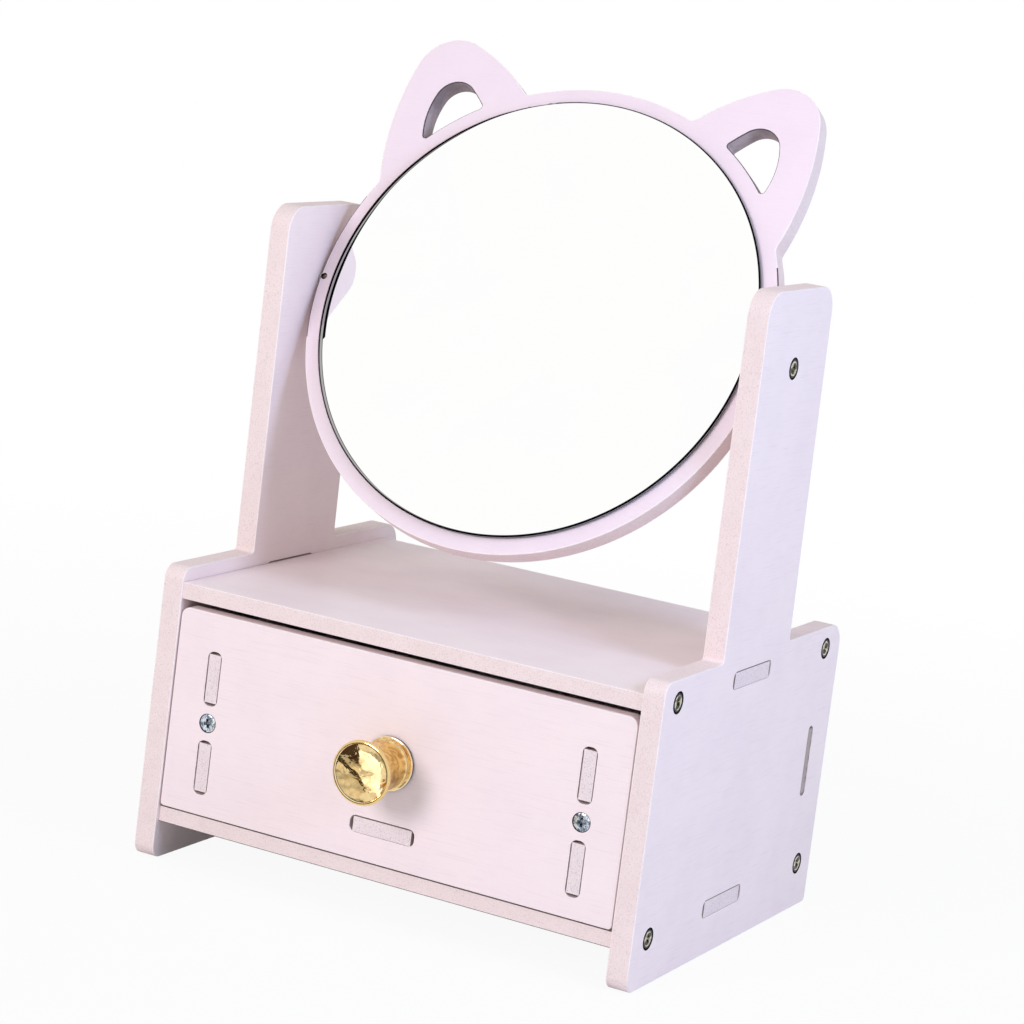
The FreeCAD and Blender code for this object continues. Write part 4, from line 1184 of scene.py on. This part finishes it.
# where it hangs, what it faces, how wide, how strong, what colour, and whether polished metal sees it
lampLook = {
    "front": ((-480, -1750, 800), (0, 0, 130), 800, 16.5, (255, 249, 253), True),
    "right": ((760, -180, 540), (90, 0, 200), 420, 3.9, (201, 219, 255), False),
    "top": ((0, 0, 1500), (0, 0, 100), 900, 0.55, (255, 250, 255), False),
}
# cards that only polished metal sees: degrees round to the right and up from the knob, distance in mm,
# width, height and lean in degrees, tone, strength
cardLook = {
    "room": (-28, -16, 64, 92, 66, 8, (240, 232, 208), 1.1),
    "floorShade": (-15, -30, 50, 25, 14, 14, (78, 60, 46), 1.0),
    "doorway": (-3, -16, 52, 8, 15, 20, (34, 40, 30), 1.0),
    "railOne": (-17, -18, 50, 32, 1.7, 34, (64, 52, 34), 1.0),
    "railTwo": (-22, -13, 52, 28, 1.4, 34, (86, 70, 44), 1.0),
    "ceiling": (-22, 6, 54, 26, 4, -16, (110, 76, 54), 1.0),
    "amber": (-52, -10, 52, 6, 14, 10, (196, 128, 54), 1.0),
    "window": (-38, -18, 56, 20, 20, 10, (255, 254, 246), 1.9),
}
cameraLook = {
    "azimuth": 26.905, "elevation": 7.327, "roll": 7.179, "distance": 1064.361,
    "aim": (53.829, -121.774, 222.416), "lens": 117.302, "shiftUp": -0.17773,
}
white = (1, 1, 1, 1)


def reachOfLight(tree):
    # 1 for what the camera sees straight, in metal or through glass
    path = put(tree, "ShaderNodeLightPath").outputs
    camera, glossy, through = (Wire(tree, path[f"Is {word} Ray"]) for word in ("Camera", "Glossy", "Transmission"))
    return calc("MAXIMUM", calc("MAXIMUM", camera, glossy), through)


def floorFinish():
    material, place = newFinish("paleFloor")
    look, tree = stageLook, place.tree
    pale = tint(*look["floor"])
    soft = tuple(v * 0.985 for v in pale[:3]) + (1.0,)
    # painted shade: inside the case's footprint the floor is dark and greenish to all but camera, glossy and
    # transmission rays, so it throws little light back up
    under = within(part(place, 0), -inside * mm, inside * mm, look["underSoft"] * mm)
    under = under * within(part(place, 1), y(0) * mm, y(c["depth"]) * mm, look["underSoft"] * mm)
    under = under * (1.0 - reachOfLight(tree))
    sheet = mixed(under, mixed(noise(place, 600.0, 2.0), pale, soft), look["underCase"])
    paper = wire(tree, "ShaderNodeBsdfDiffuse", {"Color": sheet})
    glow = wire(tree, "ShaderNodeEmission", {"Color": white, "Strength": 1.0})
    fade = spread(vectors("LENGTH", place), look["fadeFrom"] * mm, look["fadeTo"] * mm, 1 - look["shadowShare"], 1.0)
    both = wire(tree, "ShaderNodeMixShader", {0: fade * reachOfLight(tree), 1: paper, 2: glow})
    put(tree, "ShaderNodeOutputMaterial", {"Surface": both})
    return material


def layFloor():
    work = bmesh.new()
    bmesh.ops.create_circle(work, cap_ends=True, segments=96, radius=stageLook["floorRadius"] * mm)
    mesh = bpy.data.meshes.new("paleFloor")
    work.to_mesh(mesh)
    work.free()
    mesh.materials.append(floorFinish())
    floor = link(bpy.data.objects.new("paleFloor", mesh))
    floor.location.z = -stageLook["floorDrop"] * mm


def lightRoom():
    world = bpy.data.worlds.new("paleRoom")
    bpy.context.scene.world = world
    world.use_nodes = True
    tree = world.node_tree
    tree.nodes.clear()
    skies = [wire(tree, "ShaderNodeBackground", {"Color": colour, "Strength": strength}) for colour, strength in
             ((tint(*stageLook["ambient"]), stageLook["ambientStrength"]), (white, 1.0))]
    both = wire(tree, "ShaderNodeMixShader", {0: reachOfLight(tree), 1: skies[0], 2: skies[1]})
    put(tree, "ShaderNodeOutputWorld", {"Surface": both})
    for name, (at, aim, size, power, colour, inMetal) in lampLook.items():
        data = bpy.data.lights.new(name + "Softbox", "AREA")
        data.shape, data.size, data.energy = "DISK", size * mm, power
        data.color = tint(*colour)[:3]
        lamp = link(bpy.data.objects.new(name + "Softbox", data))
        lamp.location = Vector(at) * mm
        lamp.rotation_euler = (Vector(aim) * mm - lamp.location).to_track_quat("-Z", "Y").to_euler()
        lamp.visible_camera = False
        lamp.visible_glossy = inMetal


def cardFinish(name, tone, strength):
    # uneven, as a room is: streaks that lean, from the tone down to brown
    material, place = newFinish(name)
    drawn = wire(place.tree, "ShaderNodeMapping", {"Vector": place, "Rotation": (0, math.radians(40), 0),
                                                   "Scale": (26.0, 26.0, 120.0)})
    streaks = noise(drawn, 1.0, 5.0, Distortion=0.6)
    uneven = mixed(spread(streaks, 0.48, 0.68), tone, tuple(v * 0.62 for v in tone))
    glow = wire(place.tree, "ShaderNodeEmission", {"Color": uneven, "Strength": strength})
    put(place.tree, "ShaderNodeOutputMaterial", {"Surface": glow})
    return material


def hangCards():
    knob = Vector((0, y(d["setback"]) - k["length"], knobHeight))
    for word, (round, up, far, wide, high, lean, tone, strength) in cardLook.items():
        name = word + "Card"
        a, b = math.radians(round), math.radians(up)
        way = Vector((math.sin(a) * math.cos(b), -math.cos(a) * math.cos(b), math.sin(b)))
        turn = (-way).to_track_quat("Z", "Y").to_matrix().to_4x4() @ Matrix.Rotation(math.radians(lean), 4, "Z")
        u, v = (far * math.tan(math.radians(size / 2)) * mm for size in (wide, high))
        mesh = bpy.data.meshes.new(name)
        mesh.from_pydata([(-u, -v, 0), (u, -v, 0), (u, v, 0), (-u, v, 0)], [], [(0, 1, 2, 3)])
        mesh.transform(Matrix.Translation((knob + way * far) * mm) @ turn)
        mesh.materials.append(cardFinish(name, tone, strength))
        card = link(bpy.data.objects.new(name, mesh))
        card.visible_camera = card.visible_diffuse = card.visible_shadow = card.visible_transmission = False


def setCamera():
    look = cameraLook
    az, el, roll = (math.radians(look[word]) for word in ("azimuth", "elevation", "roll"))
    back = Vector((math.sin(az) * math.cos(el), -math.cos(az) * math.cos(el), math.sin(el)))
    level = Vector((math.cos(az), math.sin(az), 0))
    upright = back.cross(level)
    right = math.cos(roll) * level + math.sin(roll) * upright
    above = -math.sin(roll) * level + math.cos(roll) * upright
    data = bpy.data.cameras.new("camera")
    data.sensor_width, data.sensor_fit, data.lens, data.shift_y = 36, "HORIZONTAL", look["lens"], look["shiftUp"]
    data.clip_start, data.clip_end = 0.01, 100
    camera = link(bpy.data.objects.new("camera", data))
    turn = Matrix((right, above, back)).transposed().to_4x4()
    camera.matrix_world = Matrix.Translation((Vector(look["aim"]) + back * look["distance"]) * mm) @ turn
    bpy.context.scene.camera = camera


layFloor()
lightRoom()
hangCards()
setCamera()
bpy.context.scene.view_settings.view_transform = "Standard"
print("floor, light and camera are set")
